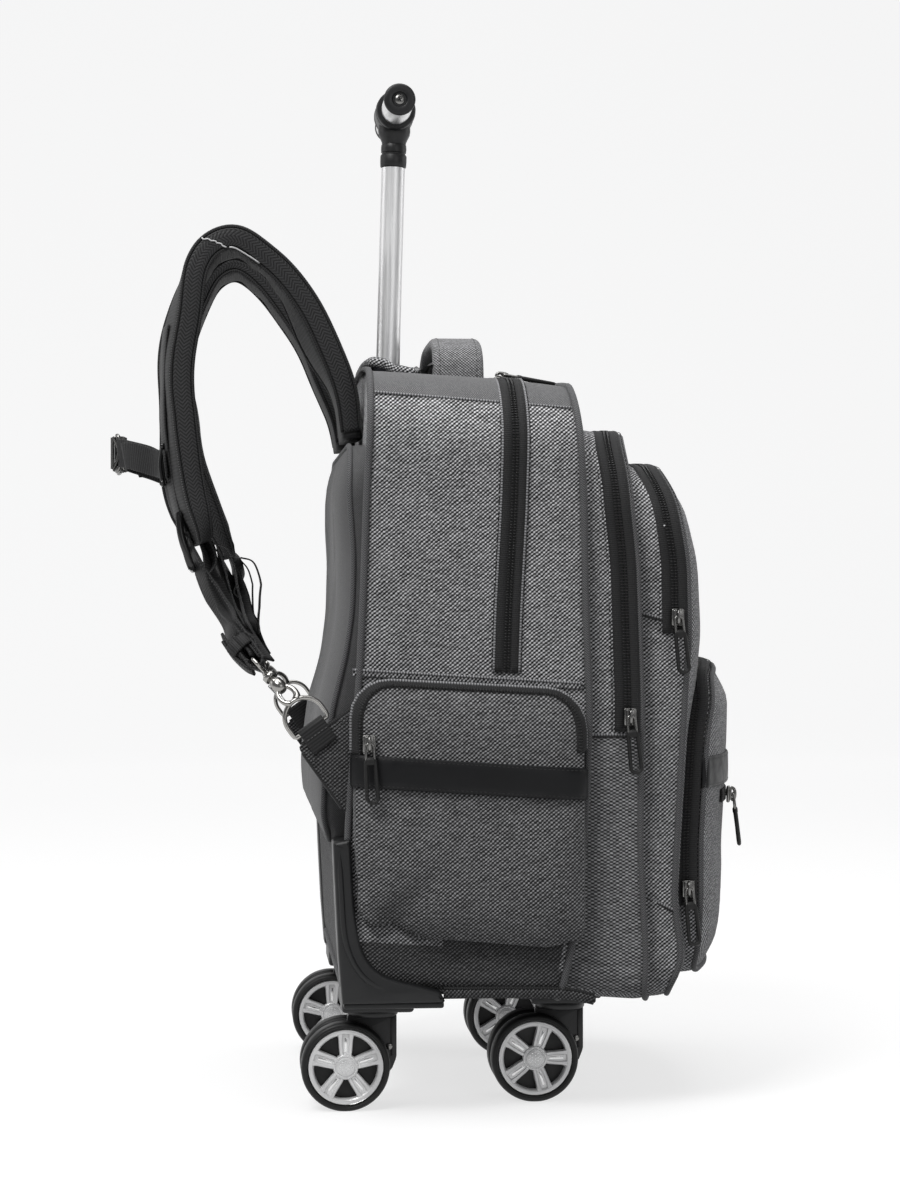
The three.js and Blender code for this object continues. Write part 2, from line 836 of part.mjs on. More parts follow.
for (const [label, side] of [['left', -1], ['right', 1]]) {
  place(`side_pocket_${label}`, ontoSide(sidePocket, side), greyCloth);
  place(`side_band_${label}`, ontoSide(sideBand, side), darkLeather);
  place(`side_zip_${label}`, ontoSide(sideZip, side), blackCloth);
}

// Grab handle: a padded arch along X over the front half of the top
function grabHandle() {
  const seat = (bodyTopRear + bodyTopFront) / 2 - bodyCrown + grabLift;
  const steps = 8;
  const points = [];
  for (let i = 0; i <= steps; i += 1) {
    const angle = Math.PI * (1 - i / steps);
    const x = (grabSpan / 2) * Math.sign(Math.cos(angle)) * Math.abs(Math.cos(angle)) ** 0.6;
    const z = grabRise * Math.sin(angle) ** 0.6;
    points.push(vector(x, 0, seat + z - grabThickness / 2));
  }
  const across = points.map(() => vector(0, 1, 0));
  return solidOf(ribbon(points, across, grabWidth, grabThickness)).subtract(bodyCutter);
}
place('grab_handle', grabHandle(), padCloth);

// Telescopic handle, in a frame that leans with the pole
const handle = new THREE.Group();
handle.position.set(0, poleBase, guideTop);
handle.rotation.x = poleLean;
backpack.add(handle);
const poleRise = poleTop - guideTop;
const tubeSides = 10;

function lathe(profile, sides) {
  const points = profile.map(([radius, height]) => new THREE.Vector2(radius, height));
  const geometry = new THREE.LatheGeometry(points, sides);
  return geometry.rotateX(Math.PI / 2);
}

function tubeProfile(inner, outer, low, high) {
  return [[inner, low], [outer, low], [outer, high], [inner, high], [inner, low]];
}

function guideTube() {
  const bore = poleDiameter / 2 + guideClearance;
  const outer = bore + guideWall;
  const length = guideTop - bodyFloorFront - clothWall;
  const tube = lathe(tubeProfile(bore, outer, -length, 0), tubeSides);
  tube.applyMatrix4(new THREE.Matrix4().makeRotationX(poleLean)).translate(0, poleBase, guideTop);
  const room = solidOf(formGeometry(body, -clothWall - gap, plainSteps));
  const above = solidOf(box(-slotWidth, slotWidth, 0, bodyBack, bodyTopFront - 30, guideTop + 10));
  return solidOf(tube).intersect(room.add(above));
}
place('guide_tube', guideTube(), blackPlastic);

place('pole', lathe(tubeProfile(
  poleDiameter / 2 - poleWall, poleDiameter / 2, poleRise - poleLength, poleRise,
), tubeSides), silver, handle);

const hubHeight = neckHeight + hubDiameter / 2 - 1;
const lyingAlongX = new THREE.Matrix4().makeRotationY(Math.PI / 2);

function gripHub() {
  const radius = neckDiameter / 2;
  const neck = lathe([
    [0, gap], [radius - 0.6, gap], [radius, 4], [radius, 9], [radius - 1, 10], [radius - 1, neckHeight - 9],
    [radius + 1.5, neckHeight - 4], [radius + 1.5, hubHeight], [0, hubHeight],
  ], tubeSides);
  const hub = lathe([
    [0, -hubLength / 2], [hubDiameter / 2 - 1, -hubLength / 2], [hubDiameter / 2, 1 - hubLength / 2],
    [hubDiameter / 2, hubLength / 2 - 1], [hubDiameter / 2 - 1, hubLength / 2], [0, hubLength / 2],
  ], tubeSides).applyMatrix4(lyingAlongX).translate(0, 0, hubHeight);
  const bore = lathe([
    [0, -hubLength],
    [gripDiameter / 2 + gap, -hubLength],
    [gripDiameter / 2 + gap, hubLength],
    [0, hubLength],
  ], tubeSides).applyMatrix4(lyingAlongX).translate(0, 0, hubHeight);
  return geometryOf(solidOf(neck).add(solidOf(hub)).subtract(solidOf(bore)));
}

const crown = new THREE.Group();
crown.position.z = poleRise;
handle.add(crown);
place('grip_hub', gripHub(), blackPlastic, crown);

const gripRadius = gripDiameter / 2;
place('grip_tube', lathe(tubeProfile(
  gripRadius - gripWall, gripRadius, -gripLength / 2, gripLength / 2,
), tubeSides).applyMatrix4(lyingAlongX).translate(0, 0, hubHeight), silver, crown);

function endCap() {
  const plugRadius = gripRadius - gripWall - gap;
  const face = gripLength / 2 + gap + capThickness;
  return lathe([
    [0, gripLength / 2 - capPlug], [plugRadius, gripLength / 2 - capPlug], [plugRadius, gripLength / 2 + gap],
    [capDiameter / 2, gripLength / 2 + gap], [capDiameter / 2, face - 1], [capDiameter / 2 - 1, face],
    [4.5, face], [4, face - capRecess], [0, face - capRecess],
  ], tubeSides).applyMatrix4(lyingAlongX);
}
for (const [label, side] of [['left', -1], ['right', 1]]) {
  place(`end_cap_${label}`, sideways(endCap(), side).translate(0, 0, hubHeight), blackPlastic, crown);
}

// Corner guards with the rear caster seats
function guardOutline() {
  const points = [[guardBack - guardPost, guardTop], [guardBack, guardTop - 2]];
  points.push([guardBack - 6, guardSole], [guardFoot + 1, guardSole], [guardFoot + 4, guardSole + 8]);
  const bendSteps = 5;
  const centreY = guardBack - guardPost - 2 - guardBend;
  const centreZ = guardSole + 15 + guardBend;
  for (let i = 0; i <= bendSteps; i += 1) {
    const angle = -Math.PI / 2 + (Math.PI / 2) * (i / bendSteps);
    points.push([centreY + guardBend * Math.cos(angle), centreZ + guardBend * Math.sin(angle)]);
  }
  return points;
}

function seatBlock(x, swivelY) {
  return solidOf(box(
    x - seatWidth / 2, x + seatWidth / 2,
    swivelY - seatDepth / 2, swivelY + seatDepth / 2,
    seatBottom, guardSole + 14,
  ));
}

const sidePocketCutter = solidOf(ontoSide(sidePocketGrown, 1));

function cornerGuard() {
  const wrap = solidOf(slabAcross(guardOutline(), guardOuter - guardWrap, guardOuter));
  const sole = solidOf(box(
    rearCasterX - seatWidth / 2, guardOuter - 2,
    guardBack - 6 - rearSeatOverlap, guardBack - 7, guardSole - 3, guardSole + 14,
  ));
  return wrap.add(seatBlock(rearCasterX, rearSwivelY)).add(sole)
    .subtract(bodyCutter).subtract(baseCutter).subtract(sidePocketCutter);
}

function frontSeat() {
  return seatBlock(frontCasterX, frontSwivelY)
    .subtract(bodyCutter).subtract(baseCutter).subtract(frontCutter);
}

for (const [label, side] of [['left', -1], ['right', 1]]) {
  place(`corner_guard_${label}`, sideways(geometryOf(cornerGuard()), side), blackPlastic);
  place(`front_caster_seat_${label}`, sideways(geometryOf(frontSeat()), side), blackPlastic);
}

// Casters: a swivelling fork between two wheels on one axle.
// A flat of each wheel faces the floor.
const wheelRadius = wheelDiameter / 2;
const hubLevel = wheelRadius * Math.cos(Math.PI / wheelSides);
const tyreInnerFace = forkThickness / 2 + 1;
const tyreOuterFace = wheelPairWidth / 2;
const rimRadius = wheelRadius - tyreWall - gap;

function wheelLathe(profile) {
  const points = profile.map(([radius, x]) => new THREE.Vector2(radius, x));
  const geometry = new THREE.LatheGeometry(points, wheelSides);
  geometry.rotateY(Math.PI / wheelSides);
  return geometry.rotateZ(-Math.PI / 2).rotateX(Math.PI / 2);
}

function tyre() {
  const bore = axleDiameter / 2 + gap;
  const recess = tyreOuterFace - rimDepth - gap;
  const seat = wheelRadius - tyreWall;
  return wheelLathe([
    [bore, tyreInnerFace], [wheelRadius, tyreInnerFace], [wheelRadius, tyreOuterFace], [seat, tyreOuterFace],
    [seat, recess], [bore, recess], [bore, tyreInnerFace],
  ]);
}

// Windows between the spokes, as holes in the rim's face
function rimFace() {
  const turned = (radius, angle) => [radius * Math.sin(angle), radius * Math.cos(angle)];
  const outline = [];
  for (let i = 0; i < wheelSides; i += 1) {
    outline.push(turned(rimRadius, (2 * Math.PI * (i + 0.5)) / wheelSides));
  }
  const outer = rimRadius - rimWidth;
  const inner = rimHub + 2;
  const reach = Math.PI / spokeCount;
  const outerTurn = reach - Math.asin(spokeWidth / 2 / outer);
  const innerTurn = reach - Math.asin(spokeWidth / 2 / inner);
  const windows = [];
  for (let i = 0; i < spokeCount; i += 1) {
    const middle = (2 * Math.PI * (i + 0.5)) / spokeCount;
    windows.push([
      turned(inner, middle - innerTurn), turned(outer, middle - outerTurn),
      turned(outer, middle + outerTurn), turned(inner, middle + innerTurn),
    ]);
  }
  return slabAcross(outline, 0, rimDepth - 1.5, windows);
}

function rims() {
  const inner = tyreOuterFace - rimDepth;
  const face = solidOf(rimFace().translate(inner, 0, 0));
  const other = solidOf(welded(rimFace().translate(inner, 0, 0).scale(-1, 1, 1)));
  const axle = new THREE.CylinderGeometry(axleDiameter / 2, axleDiameter / 2, 2 * inner + 2, axleSides)
    .applyMatrix4(new THREE.Matrix4().makeRotationZ(Math.PI / 2));
  return geometryOf(face.add(other).add(solidOf(axle)));
}

// Fork seen along X, with the swivel axis at Y = 0 and the wheels behind it
function fork() {
  const hub = [casterTrail, hubLevel];
  const top = seatBottom - gap - forkFlangeHeight;
  const hubWrap = axleDiameter / 2 + 5;
  const outline = [
    [-16, hubLevel + 2], [-16, top + 1], [casterTrail - 2, top + 1],
    ...arcSpots(...hub, hubWrap, Math.PI * 0.15, -Math.PI * 0.7, 6),
    [-10, hubLevel - 9],
  ];
  const boreRadius = (axleDiameter / 2 + axleClearance) / Math.cos(Math.PI / axleSides);
  const boreTurn = 2 * Math.PI * (1 - 1 / axleSides);
  const bore = arcSpots(...hub, boreRadius, 0, boreTurn, axleSides - 1);
  const web = slabAcross(outline, -forkThickness / 2, forkThickness / 2, [bore]);
  const flange = lathe([
    [0, top], [forkFlangeDiameter / 2, top], [forkFlangeDiameter / 2, top + forkFlangeHeight],
    [0, top + forkFlangeHeight],
  ], 14);
  return geometryOf(solidOf(web).add(solidOf(flange)));
}

const casters = [
  ['rear_left', -rearCasterX, rearSwivelY],
  ['rear_right', rearCasterX, rearSwivelY],
  ['front_left', -frontCasterX, frontSwivelY],
  ['front_right', frontCasterX, frontSwivelY],
];
for (const [label, x, y] of casters) {
  const caster = new THREE.Group();
  caster.position.set(x, y, 0);
  backpack.add(caster);
  const wheels = new THREE.Group();
  wheels.position.set(0, casterTrail, hubLevel);
  caster.add(wheels);
  place(`fork_${label}`, fork(), blackPlastic, caster);
  place(`rims_${label}`, rims(), silver, wheels);
  place(`tyre_outer_${label}`, sideways(tyre(), Math.sign(x)), rubber, wheels);
  place(`tyre_inner_${label}`, sideways(tyre(), -Math.sign(x)), rubber, wheels);
}

// Shoulder straps
// Reach and rise are shares of the arch, out from its anchor and up from it.
const strapRows = [
  { reach: -0.005, rise: 0.0, thick: 0.8 },
  { reach: 0.04, rise: 0.22, thick: 0.95 },
  { reach: 0.15, rise: 0.45, thick: 1.0 },
  { reach: 0.285, rise: 0.67, thick: 1.0 },
  { reach: 0.44, rise: 0.87, thick: 1.0 },
  { reach: 0.635, rise: 0.985, thick: 1.0 },
  { reach: 0.8, rise: 0.93, thick: 1.0 },
  { reach: 0.91, rise: 0.76, thick: 1.0 },
  { reach: 0.975, rise: 0.53, thick: 1.0 },
  { reach: 0.99, rise: 0.27, thick: 1.0 },
  { reach: 0.983, rise: 0.0, thick: 1.0 },
  { reach: 0.93, rise: -0.3, thick: 0.95 },
  { reach: 0.86, rise: -0.52, thick: 0.8 },
];
const strapPoints = strapRows.map((row, i) => vector(
  mix(strapTopX, strapEndX, i / (strapRows.length - 1)),
  strapAnchorY + strapReach * row.reach,
  strapAnchorZ + strapRise * row.rise,
));

function shoulderPad() {
  const rings = strapPoints.map((point, i) => {
    const before = strapPoints[Math.max(i - 1, 0)];
    const after = strapPoints[Math.min(i + 1, strapPoints.length - 1)];
    const along = vector(0, after.y - before.y, after.z - before.z).normalize();
    const normal = vector(0, -along.z, along.y);
    const half = strapWidth / 2;
    const deep = (strapThickness * strapRows[i].thick) / 2;
    const corners = [
      [-half, padCorner - deep],
      [padCorner - half, -deep],
      [half - padCorner, -deep],
      [half, padCorner - deep],
      [half, deep - padCorner], [half - padCorner, deep], [padCorner - half, deep], [-half, deep - padCorner],
    ];
    return corners.map(([x, n]) => point.clone().add(vector(x, 0, 0)).addScaledVector(normal, n));
  });
  return solidOf(loft(rings)).subtract(bodyCutter).subtract(formSolid(backPadForm, gap));
}

// Ladder lock on the outer face at the strap's lower end
const strapEnd = strapPoints[strapPoints.length - 1];
const strapBefore = strapPoints[strapPoints.length - 2];
const endAlong = vector(0, strapEnd.y - strapBefore.y, strapEnd.z - strapBefore.z).normalize();
const endNormal = vector(0, -endAlong.z, endAlong.y);
const endHalf = (strapThickness * strapRows[strapRows.length - 1].thick) / 2;
const lockOffset = endHalf + 1.2 + lockThickness / 2;
const lockCentre = strapEnd.clone().addScaledVector(endAlong, -4).addScaledVector(endNormal, lockOffset);

function ladderLock() {
  const halfX = lockWidth / 2;
  const halfZ = lockHeight / 2;
  const cut = 7;
  const corners = [
    [-halfX, cut - halfZ], [cut - halfX, -halfZ], [halfX - cut, -halfZ], [halfX, cut - halfZ],
    [halfX, halfZ - cut], [halfX - cut, halfZ], [cut - halfX, halfZ], [-halfX, halfZ - cut],
  ];
  const halfSlot = webbingWidth / 2 + 1;
  const slots = [-8, 5].map((level) => [
    [-halfSlot, level], [halfSlot, level], [halfSlot, level + lockSlot], [-halfSlot, level + lockSlot],
  ]);
  const geometry = plateOf(corners, slots, lockThickness).translate(0, 0, -lockThickness / 2);
  const turn = new THREE.Matrix4().makeBasis(vector(-1, 0, 0), endAlong.clone().negate(), endNormal.clone());
  return welded(geometry.applyMatrix4(turn.setPosition(lockCentre)));
}

// Wing tab behind the pocket, with the webbing loop that holds the D-ring.
// Its upper edge runs from the body down to the tip.
const wingTop = [76, 272.7];
const wingTip = [113.1, 246];
const wingFoot = [83, 202.6];
const edgeLength = Math.hypot(wingTip[0] - wingTop[0], wingTip[1] - wingTop[1]);
const edgeAlong = [(wingTip[0] - wingTop[0]) / edgeLength, (wingTip[1] - wingTop[1]) / edgeLength];
const edgeOut = [-edgeAlong[1], edgeAlong[0]];
const ringSeat = 14;
const ringOffset = 5;
const barCentre = [
  wingTip[0] - edgeAlong[0] * ringSeat + edgeOut[0] * ringOffset,
  wingTip[1] - edgeAlong[1] * ringSeat + edgeOut[1] * ringOffset,
];
const wingMiddle = wingX + wingThickness / 2;
const loopWidth = webbingWidth - 2;

const cornerGuardGrown = solidOf(slabAcross(
  [
    [guardBack - guardReach, guardTop + gap],
    [guardBack + 1, guardTop + gap],
    [guardBack + 1, guardSole],
    [guardBack - guardReach, guardSole],
  ],
  guardOuter - guardWrap, guardOuter + gap,
));

function sideWing() {
  const outline = [wingTop, wingTip, wingFoot];
  const inward = [wingTop[0] - tuck * 2, wingTop[1] - 4];
  const foot = [wingFoot[0] - tuck * 2, wingFoot[1] + 4];
  const sheet = slabAcross([inward, ...outline, foot], wingX, wingX + wingThickness);
  const loopHeight = ringOffset + ringWire + 2;
  const across = (u, v) => [
    barCentre[0] + edgeAlong[0] * u + edgeOut[0] * v,
    barCentre[1] + edgeAlong[1] * u + edgeOut[1] * v,
  ];
  const loop = slabAcross([
    across(-loopWidth / 2, -ringOffset - 4), across(loopWidth / 2, -ringOffset - 4),
    across(loopWidth / 2, loopHeight - ringOffset), across(-loopWidth / 2, loopHeight - ringOffset),
  ], wingMiddle - 3.4, wingMiddle + 3.4);
  const channelHalf = ringWire / 2 + gap;
  const channel = slabAcross([
    across(-ringWidth, -channelHalf), across(ringWidth, -channelHalf),
    across(ringWidth, channelHalf), across(-ringWidth, channelHalf),
  ], wingMiddle - channelHalf, wingMiddle + channelHalf);
  return solidOf(sheet).add(solidOf(loop)).subtract(solidOf(channel)).subtract(bodyCutter)
    .subtract(sidePocketCutter).subtract(cornerGuardGrown);
}
// Closed wire loop: a round section carried along a closed row of points in the YZ plane
function wireLoop(spots, wire, sides) {
  const count = spots.length;
  const rings = spots.map((spot, i) => {
    const before = spots[(i + count - 1) % count];
    const after = spots[(i + 1) % count];
    const along = new THREE.Vector2(after[0] - before[0], after[1] - before[1]).normalize();
    const ring = [];
    for (let k = 0; k < sides; k += 1) {
      const angle = (2 * Math.PI * k) / sides;
      const out = (wire / 2) * Math.cos(angle);
      ring.push(vector((wire / 2) * Math.sin(angle), spot[0] - along.y * out, spot[1] + along.x * out));
    }
    return ring;
  });
  const points = rings.flat();
  const triangles = [];
  for (let r = 0; r < count; r += 1) {
    for (let i = 0; i < sides; i += 1) {
      const a = r * sides + i;
      const b = r * sides + ((i + 1) % sides);
      const c = ((r + 1) % count) * sides + ((i + 1) % sides);
      const d = ((r + 1) % count) * sides + i;
      triangles.push(a, b, c, a, c, d);
    }
  }
  const geometry = new THREE.BufferGeometry().setFromPoints(points);
  geometry.setIndex(triangles);
  return facingOut(geometry);
}

function dRing() {
  const radius = ringWidth / 2;
  const straight = ringHeight - radius;
  const spots = [[-radius + 1, 0], [0, 0], [radius - 1, 0], [radius, 2]];
  const steps = 6;
  for (let i = 0; i <= steps; i += 1) {
    const angle = (Math.PI * i) / steps;
    spots.push([radius * Math.cos(angle), straight + radius * Math.sin(angle)]);
  }
  spots.push([-radius, 2]);
  const turned = spots.map(([u, v]) => [
    barCentre[0] + edgeAlong[0] * u + edgeOut[0] * v,
    barCentre[1] + edgeAlong[1] * u + edgeOut[1] * v,
  ]);
  return wireLoop(turned, ringWire, 6).translate(wingMiddle, 0, 0);
}

// Snap hook: a closed hook loop, a shaft and the eye for the webbing.
// Its own frame has the hook loop at the origin and the eye along +Z.
const ringTop = vector(
  wingMiddle,
  barCentre[0] + edgeOut[0] * ringHeight,
  barCentre[1] + edgeOut[1] * ringHeight,
);
const hookAxis = vector(-20, 23.5, 24.5).normalize();
const hookAcross = vector(1, 0, 0).addScaledVector(hookAxis, -hookAxis.x).normalize();
const hookOut = hookAxis.clone().cross(hookAcross);
const hookSeat = hookLoop / 2 - hookWire / 2 - ringWire / 2 - gap;
const hookOrigin = ringTop.clone().addScaledVector(hookAxis, hookSeat);
const hookFrame = new THREE.Matrix4().makeBasis(hookAcross, hookOut, hookAxis).setPosition(hookOrigin);
const eyeFloor = hookLoop / 2 + hookLength;
const barLevel = eyeFloor + eyeHeight - eyeBar / 2;

function snapHook() {
  const loop = new THREE.TorusGeometry(hookLoop / 2, hookWire / 2, 5, 10)
    .applyMatrix4(new THREE.Matrix4().makeRotationX(Math.PI / 2));
  const shaft = lathe([
    [0, hookLoop / 2 - 0.4], [hookWire / 2, hookLoop / 2 - 0.4], [hookShaft / 2, hookLoop / 2 + 5],
    [hookShaft / 2, eyeFloor - 7],
    [hookShaft / 3, eyeFloor - 4],
    [hookShaft / 3, eyeFloor + 1],
    [0, eyeFloor + 1],
  ], 8);
  const halfEye = eyeWidth / 2;
  const halfDepth = eyeDepth / 2;
  const frame = solidOf(box(-halfEye, halfEye, -halfDepth, halfDepth, eyeFloor, eyeFloor + eyeHeight));
  const hole = solidOf(box(
    eyeBar - eyeWidth / 2, eyeWidth / 2 - eyeBar, -eyeDepth, eyeDepth,
    eyeFloor + eyeBar, eyeFloor + eyeHeight - eyeBar,
  ));
  const whole = solidOf(loop).add(solidOf(shaft)).add(frame.subtract(hole));
  return geometryOf(whole).applyMatrix4(hookFrame);
}

function strapWebbing() {
  const start = lockCentre.clone()
    .addScaledVector(endNormal, -lockThickness / 2 - gap - webbingThickness / 2)
    .addScaledVector(endAlong, lockTongue);
  const inHook = (n, level) => vector(0, n, level).applyMatrix4(hookFrame);
  const turn = eyeBar / 2 + gap + webbingThickness + 0.2;
  const arc = [0, 1, 2, 3, 4].map((i) => {
    const angle = (Math.PI * i) / 4;
    return inHook(-turn * Math.cos(angle), barLevel - turn * Math.sin(angle));
  });
  const points = [
    start,
    ...webbingHang.map((step) => start.clone().add(vector(...step))),
    inHook(-lockSlot, barLevel + webbingLead),
    inHook(-turn, barLevel + webbingTurn),
    ...arc,
    inHook(turn, barLevel + webbingReturn / 2),
    inHook(turn, barLevel + webbingReturn),
  ];
  const loose = 4;
  const across = points.map((point, i) => vector(1, 0, 0).lerp(hookAcross, Math.min(i / loose, 1)));
  return ribbon(points, across, webbingWidth, webbingThickness);
}

for (const [label, side] of [['left', -1], ['right', 1]]) {
  place(`shoulder_pad_${label}`, sideways(geometryOf(shoulderPad()), side), blackCloth);
  place(`ladder_lock_${label}`, sideways(ladderLock(), side), blackPlastic);
  place(`strap_webbing_${label}`, sideways(strapWebbing(), side), blackCloth);
  place(`snap_hook_${label}`, sideways(snapHook(), side), nickel);
  place(`side_wing_${label}`, sideways(geometryOf(sideWing()), side), greyCloth);
  place(`d_ring_${label}`, sideways(dRing(), side), nickel);
}

// Chest strap between the shoulder straps, through the closed buckle
const chestTop = chestLevel + chestRise;
const chestBuckleY = chestSeatY + chestReach;

function chestStrap() {
  const half = [
    vector(strapEndX + 8, chestSeatY, chestLevel),
    vector(strapEndX - 12, chestSeatY, chestLevel),
    vector(strapEndX / 2, mix(chestSeatY, chestBuckleY, 0.5), mix(chestLevel, chestTop, 0.6)),
    vector(buckleWidth / 2 + 3, chestBuckleY - 1, chestTop),
    vector(buckleWidth / 3, chestBuckleY, chestTop),
  ];
  const points = [...half, ...half.map((point) => vector(-point.x, point.y, point.z)).reverse()];
  const across = points.map(() => vector(0, 0, 1));
  return ribbon(points, across, webbingWidth, webbingThickness);
}

function chestBuckle() {
  const halfX = buckleWidth / 2;
  const halfY = buckleThickness / 2;
  const halfZ = buckleHeight / 2;
  const slotY = webbingThickness / 2 + gap;
  const slotZ = webbingWidth / 2 + gap;
  const block = box(-halfX, halfX, -halfY, halfY, -halfZ, halfZ);
  const slot = box(-halfX - 1, halfX + 1, -slotY, slotY, -slotZ, slotZ);
  const ends = solidOf(box(halfX - 4, halfX + 1, -halfY + 1, slotY, -slotZ, slotZ));
  const farEnds = solidOf(box(-halfX - 1, 4 - halfX, -halfY + 1, slotY, -slotZ, slotZ));
  const shape = solidOf(block).subtract(solidOf(slot)).subtract(ends).subtract(farEnds);
  return geometryOf(shape).translate(0, chestBuckleY, chestTop);
}
place('sternum_strap', chestStrap(), blackCloth);
place('sternum_buckle', chestBuckle(), blackPlastic);

// The origin is under the middle of the whole bag
backpack.updateMatrixWorld(true);
const bounds = new THREE.Box3().setFromObject(backpack, true);
backpack.position.y = -(bounds.min.y + bounds.max.y) / 2;

export default backpack;
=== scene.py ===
"""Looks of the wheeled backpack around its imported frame.

Sizes are in millimetres in the part's own working frame; put() turns them into metres in the row frame.
Left is -X, the side that the photograph shows.
"""

import math

import bmesh
import bpy
import numpy as np
from mathutils import Matrix, Vector, noise


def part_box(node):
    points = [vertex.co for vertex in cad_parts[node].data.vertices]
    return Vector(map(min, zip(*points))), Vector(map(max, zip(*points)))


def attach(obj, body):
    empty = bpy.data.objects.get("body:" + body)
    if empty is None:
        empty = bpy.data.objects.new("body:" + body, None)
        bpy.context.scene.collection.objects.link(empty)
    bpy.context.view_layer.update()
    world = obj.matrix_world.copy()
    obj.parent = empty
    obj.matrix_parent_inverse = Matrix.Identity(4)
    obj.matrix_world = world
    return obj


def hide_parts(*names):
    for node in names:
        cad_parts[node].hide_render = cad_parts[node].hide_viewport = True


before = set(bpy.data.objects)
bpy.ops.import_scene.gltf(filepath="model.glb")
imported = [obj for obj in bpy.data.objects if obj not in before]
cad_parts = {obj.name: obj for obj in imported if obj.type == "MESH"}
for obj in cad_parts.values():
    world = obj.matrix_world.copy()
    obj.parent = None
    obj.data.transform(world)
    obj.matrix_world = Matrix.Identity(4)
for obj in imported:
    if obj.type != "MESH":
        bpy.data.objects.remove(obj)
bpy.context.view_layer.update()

# Sizes shared with the part
BODY_HALF = 158.0
BODY_BACK = 84.0
BODY_FRONT = 79.0
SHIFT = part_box("main_body")[1].y * 1000 - BODY_BACK
GAP = 0.3
TUCK = 6.0
POLE_BASE = 45.0
GUIDE_TOP = 505.0
POLE_LEAN = 0.0272
POLE_RISE = 147.0
HUB_HEIGHT = 39.0
WHEEL_RADIUS = 30.0
HUB_LEVEL = WHEEL_RADIUS * math.cos(math.pi / 16)
CASTER_TRAIL = 19.0
CASTERS = {
    "rear_left": (-110, 62),
    "rear_right": (110, 62),
    "front_left": (-88, -68),
    "front_right": (88, -68),
}
SIDES = (("left", -1), ("right", 1))
BAND_HEIGHT = 21.0
LOWER_BAND_LEVEL = 225.0
SMALL_ZIP_LEVEL = 206.0
SIDE_BAND_LEVEL = 225.5
SIDE_BAND_SLOPE = 0.064
SIDE_DEPTH = 10.0
SIDE_FACE = BODY_HALF + GAP + SIDE_DEPTH
MAIN_ZIP_WIDTH = 16.0
BAG_ZIP_WIDTH = 17.0
SMALL_ZIP_WIDTH = 9.0
WEBBING_WIDTH = 20.0
STRAP_HALF = 31.0
STRAP_DEPTH = 7.5
STRAP_ROOT = (74.5, 452.0)
STRAP_REACH = 121.0
STRAP_RISE = 138.0
GRAB_HALF = 64.0
GRAB_LEVEL = 492.0
GRAB_RISE = 31.0
GRAB_WIDTH = 36.0
SEAM_LEVEL = 291.0
SEAM_SLOPE = 0.061


def mix(a, b, share):
    return a + (b - a) * share


def unit(v):
    v = np.asarray(v, float)
    return v / max(float(np.linalg.norm(v)), 1e-9)


# Camera
AZ = math.radians(5)
CAMERA_RUN = 1837.0
CAMERA_LEVEL = 341.5
LENS = 76.5

eye = Vector((-CAMERA_RUN * math.cos(AZ), CAMERA_RUN * math.sin(AZ) + SHIFT, CAMERA_LEVEL)) / 1000
camera_data = bpy.data.cameras.new("camera")
camera_data.lens = LENS
camera_data.sensor_width = 36
camera = bpy.data.objects.new("camera", camera_data)
camera.location = eye
look = Vector((math.cos(AZ), -math.sin(AZ), 0))
camera.rotation_euler = look.to_track_quat("-Z", "Y").to_euler()
bpy.context.scene.collection.objects.link(camera)
bpy.context.scene.camera = camera


# Materials
class Nodes:
    """A short way to build a node tree"""

    def __init__(self, name):
        self.material = bpy.data.materials.new(name)
        self.material.use_nodes = True
        self.tree = self.material.node_tree
        self.shader = self.tree.nodes["Principled BSDF"]

    def node(self, kind, settings=None, **sockets):
        made = self.tree.nodes.new(kind)
        for key, value in (settings or {}).items():
            setattr(made, key, value)
        for key, value in sockets.items():
            self.feed(made, key, value)
        return made

    def feed(self, node, key, value):
        socket = node.inputs[int(key[1:]) if key[0] == "i" and key[1:].isdigit() else key.replace("_", " ")]
        if isinstance(value, bpy.types.NodeSocket):
            self.tree.links.new(value, socket)
        else:
            socket.default_value = value

    def math(self, operation, a, b=0.0, clamp=False):
        made = self.node("ShaderNodeMath", {"operation": operation, "use_clamp": clamp}, i0=a, i1=b)
        return made.outputs[0]

    def mixed(self, share, a, b, blend="MIX"):
        made = self.node("ShaderNodeMix", {"data_type": "RGBA", "blend_type": blend})
        self.feed(made, "i0", share)
        self.feed(made, "i6", a)
        self.feed(made, "i7", b)
        return made.outputs[2]

    def uv(self):
        """UV in millimetres, as (u, v) sockets"""
        coordinates = self.node("ShaderNodeUVMap", {"uv_map": "weave"})
        parts = self.node("ShaderNodeSeparateXYZ", i0=coordinates.outputs[0])
        return self.math("MULTIPLY", parts.outputs[0], 1000.0), self.math(
            "MULTIPLY", parts.outputs[1], 1000.0
        )

    def place(self):
        return self.node("ShaderNodeTexCoord").outputs["Object"]

    def cloudy(self, scale, detail=2.0, rough=0.5, vector=None):
        made = self.node("ShaderNodeTexNoise", Scale=scale, Detail=detail, Roughness=rough)
        self.feed(made, "Vector", vector if vector is not None else self.place())
        return made.outputs["Fac"]

    def spread(self, value, low, high, to_low=0.0, to_high=1.0):
        made = self.node("ShaderNodeMapRange", i0=value, i1=low, i2=high, i3=to_low, i4=to_high)
        return made.outputs[0]

    def bump(self, height, distance, strength=1.0, normal=None):
        made = self.node("ShaderNodeBump", Strength=strength, Distance=distance, Height=height)
        if normal is not None:
            self.feed(made, "Normal", normal)
        return made.outputs[0]

    def surface(self, **sockets):
        for key, value in sockets.items():
            self.feed(self.shader, key, value)
        return self.material


def rgb(level, tint=(1.0, 1.0, 1.0)):
    return (level * tint[0], level * tint[1], level * tint[2], 1.0)


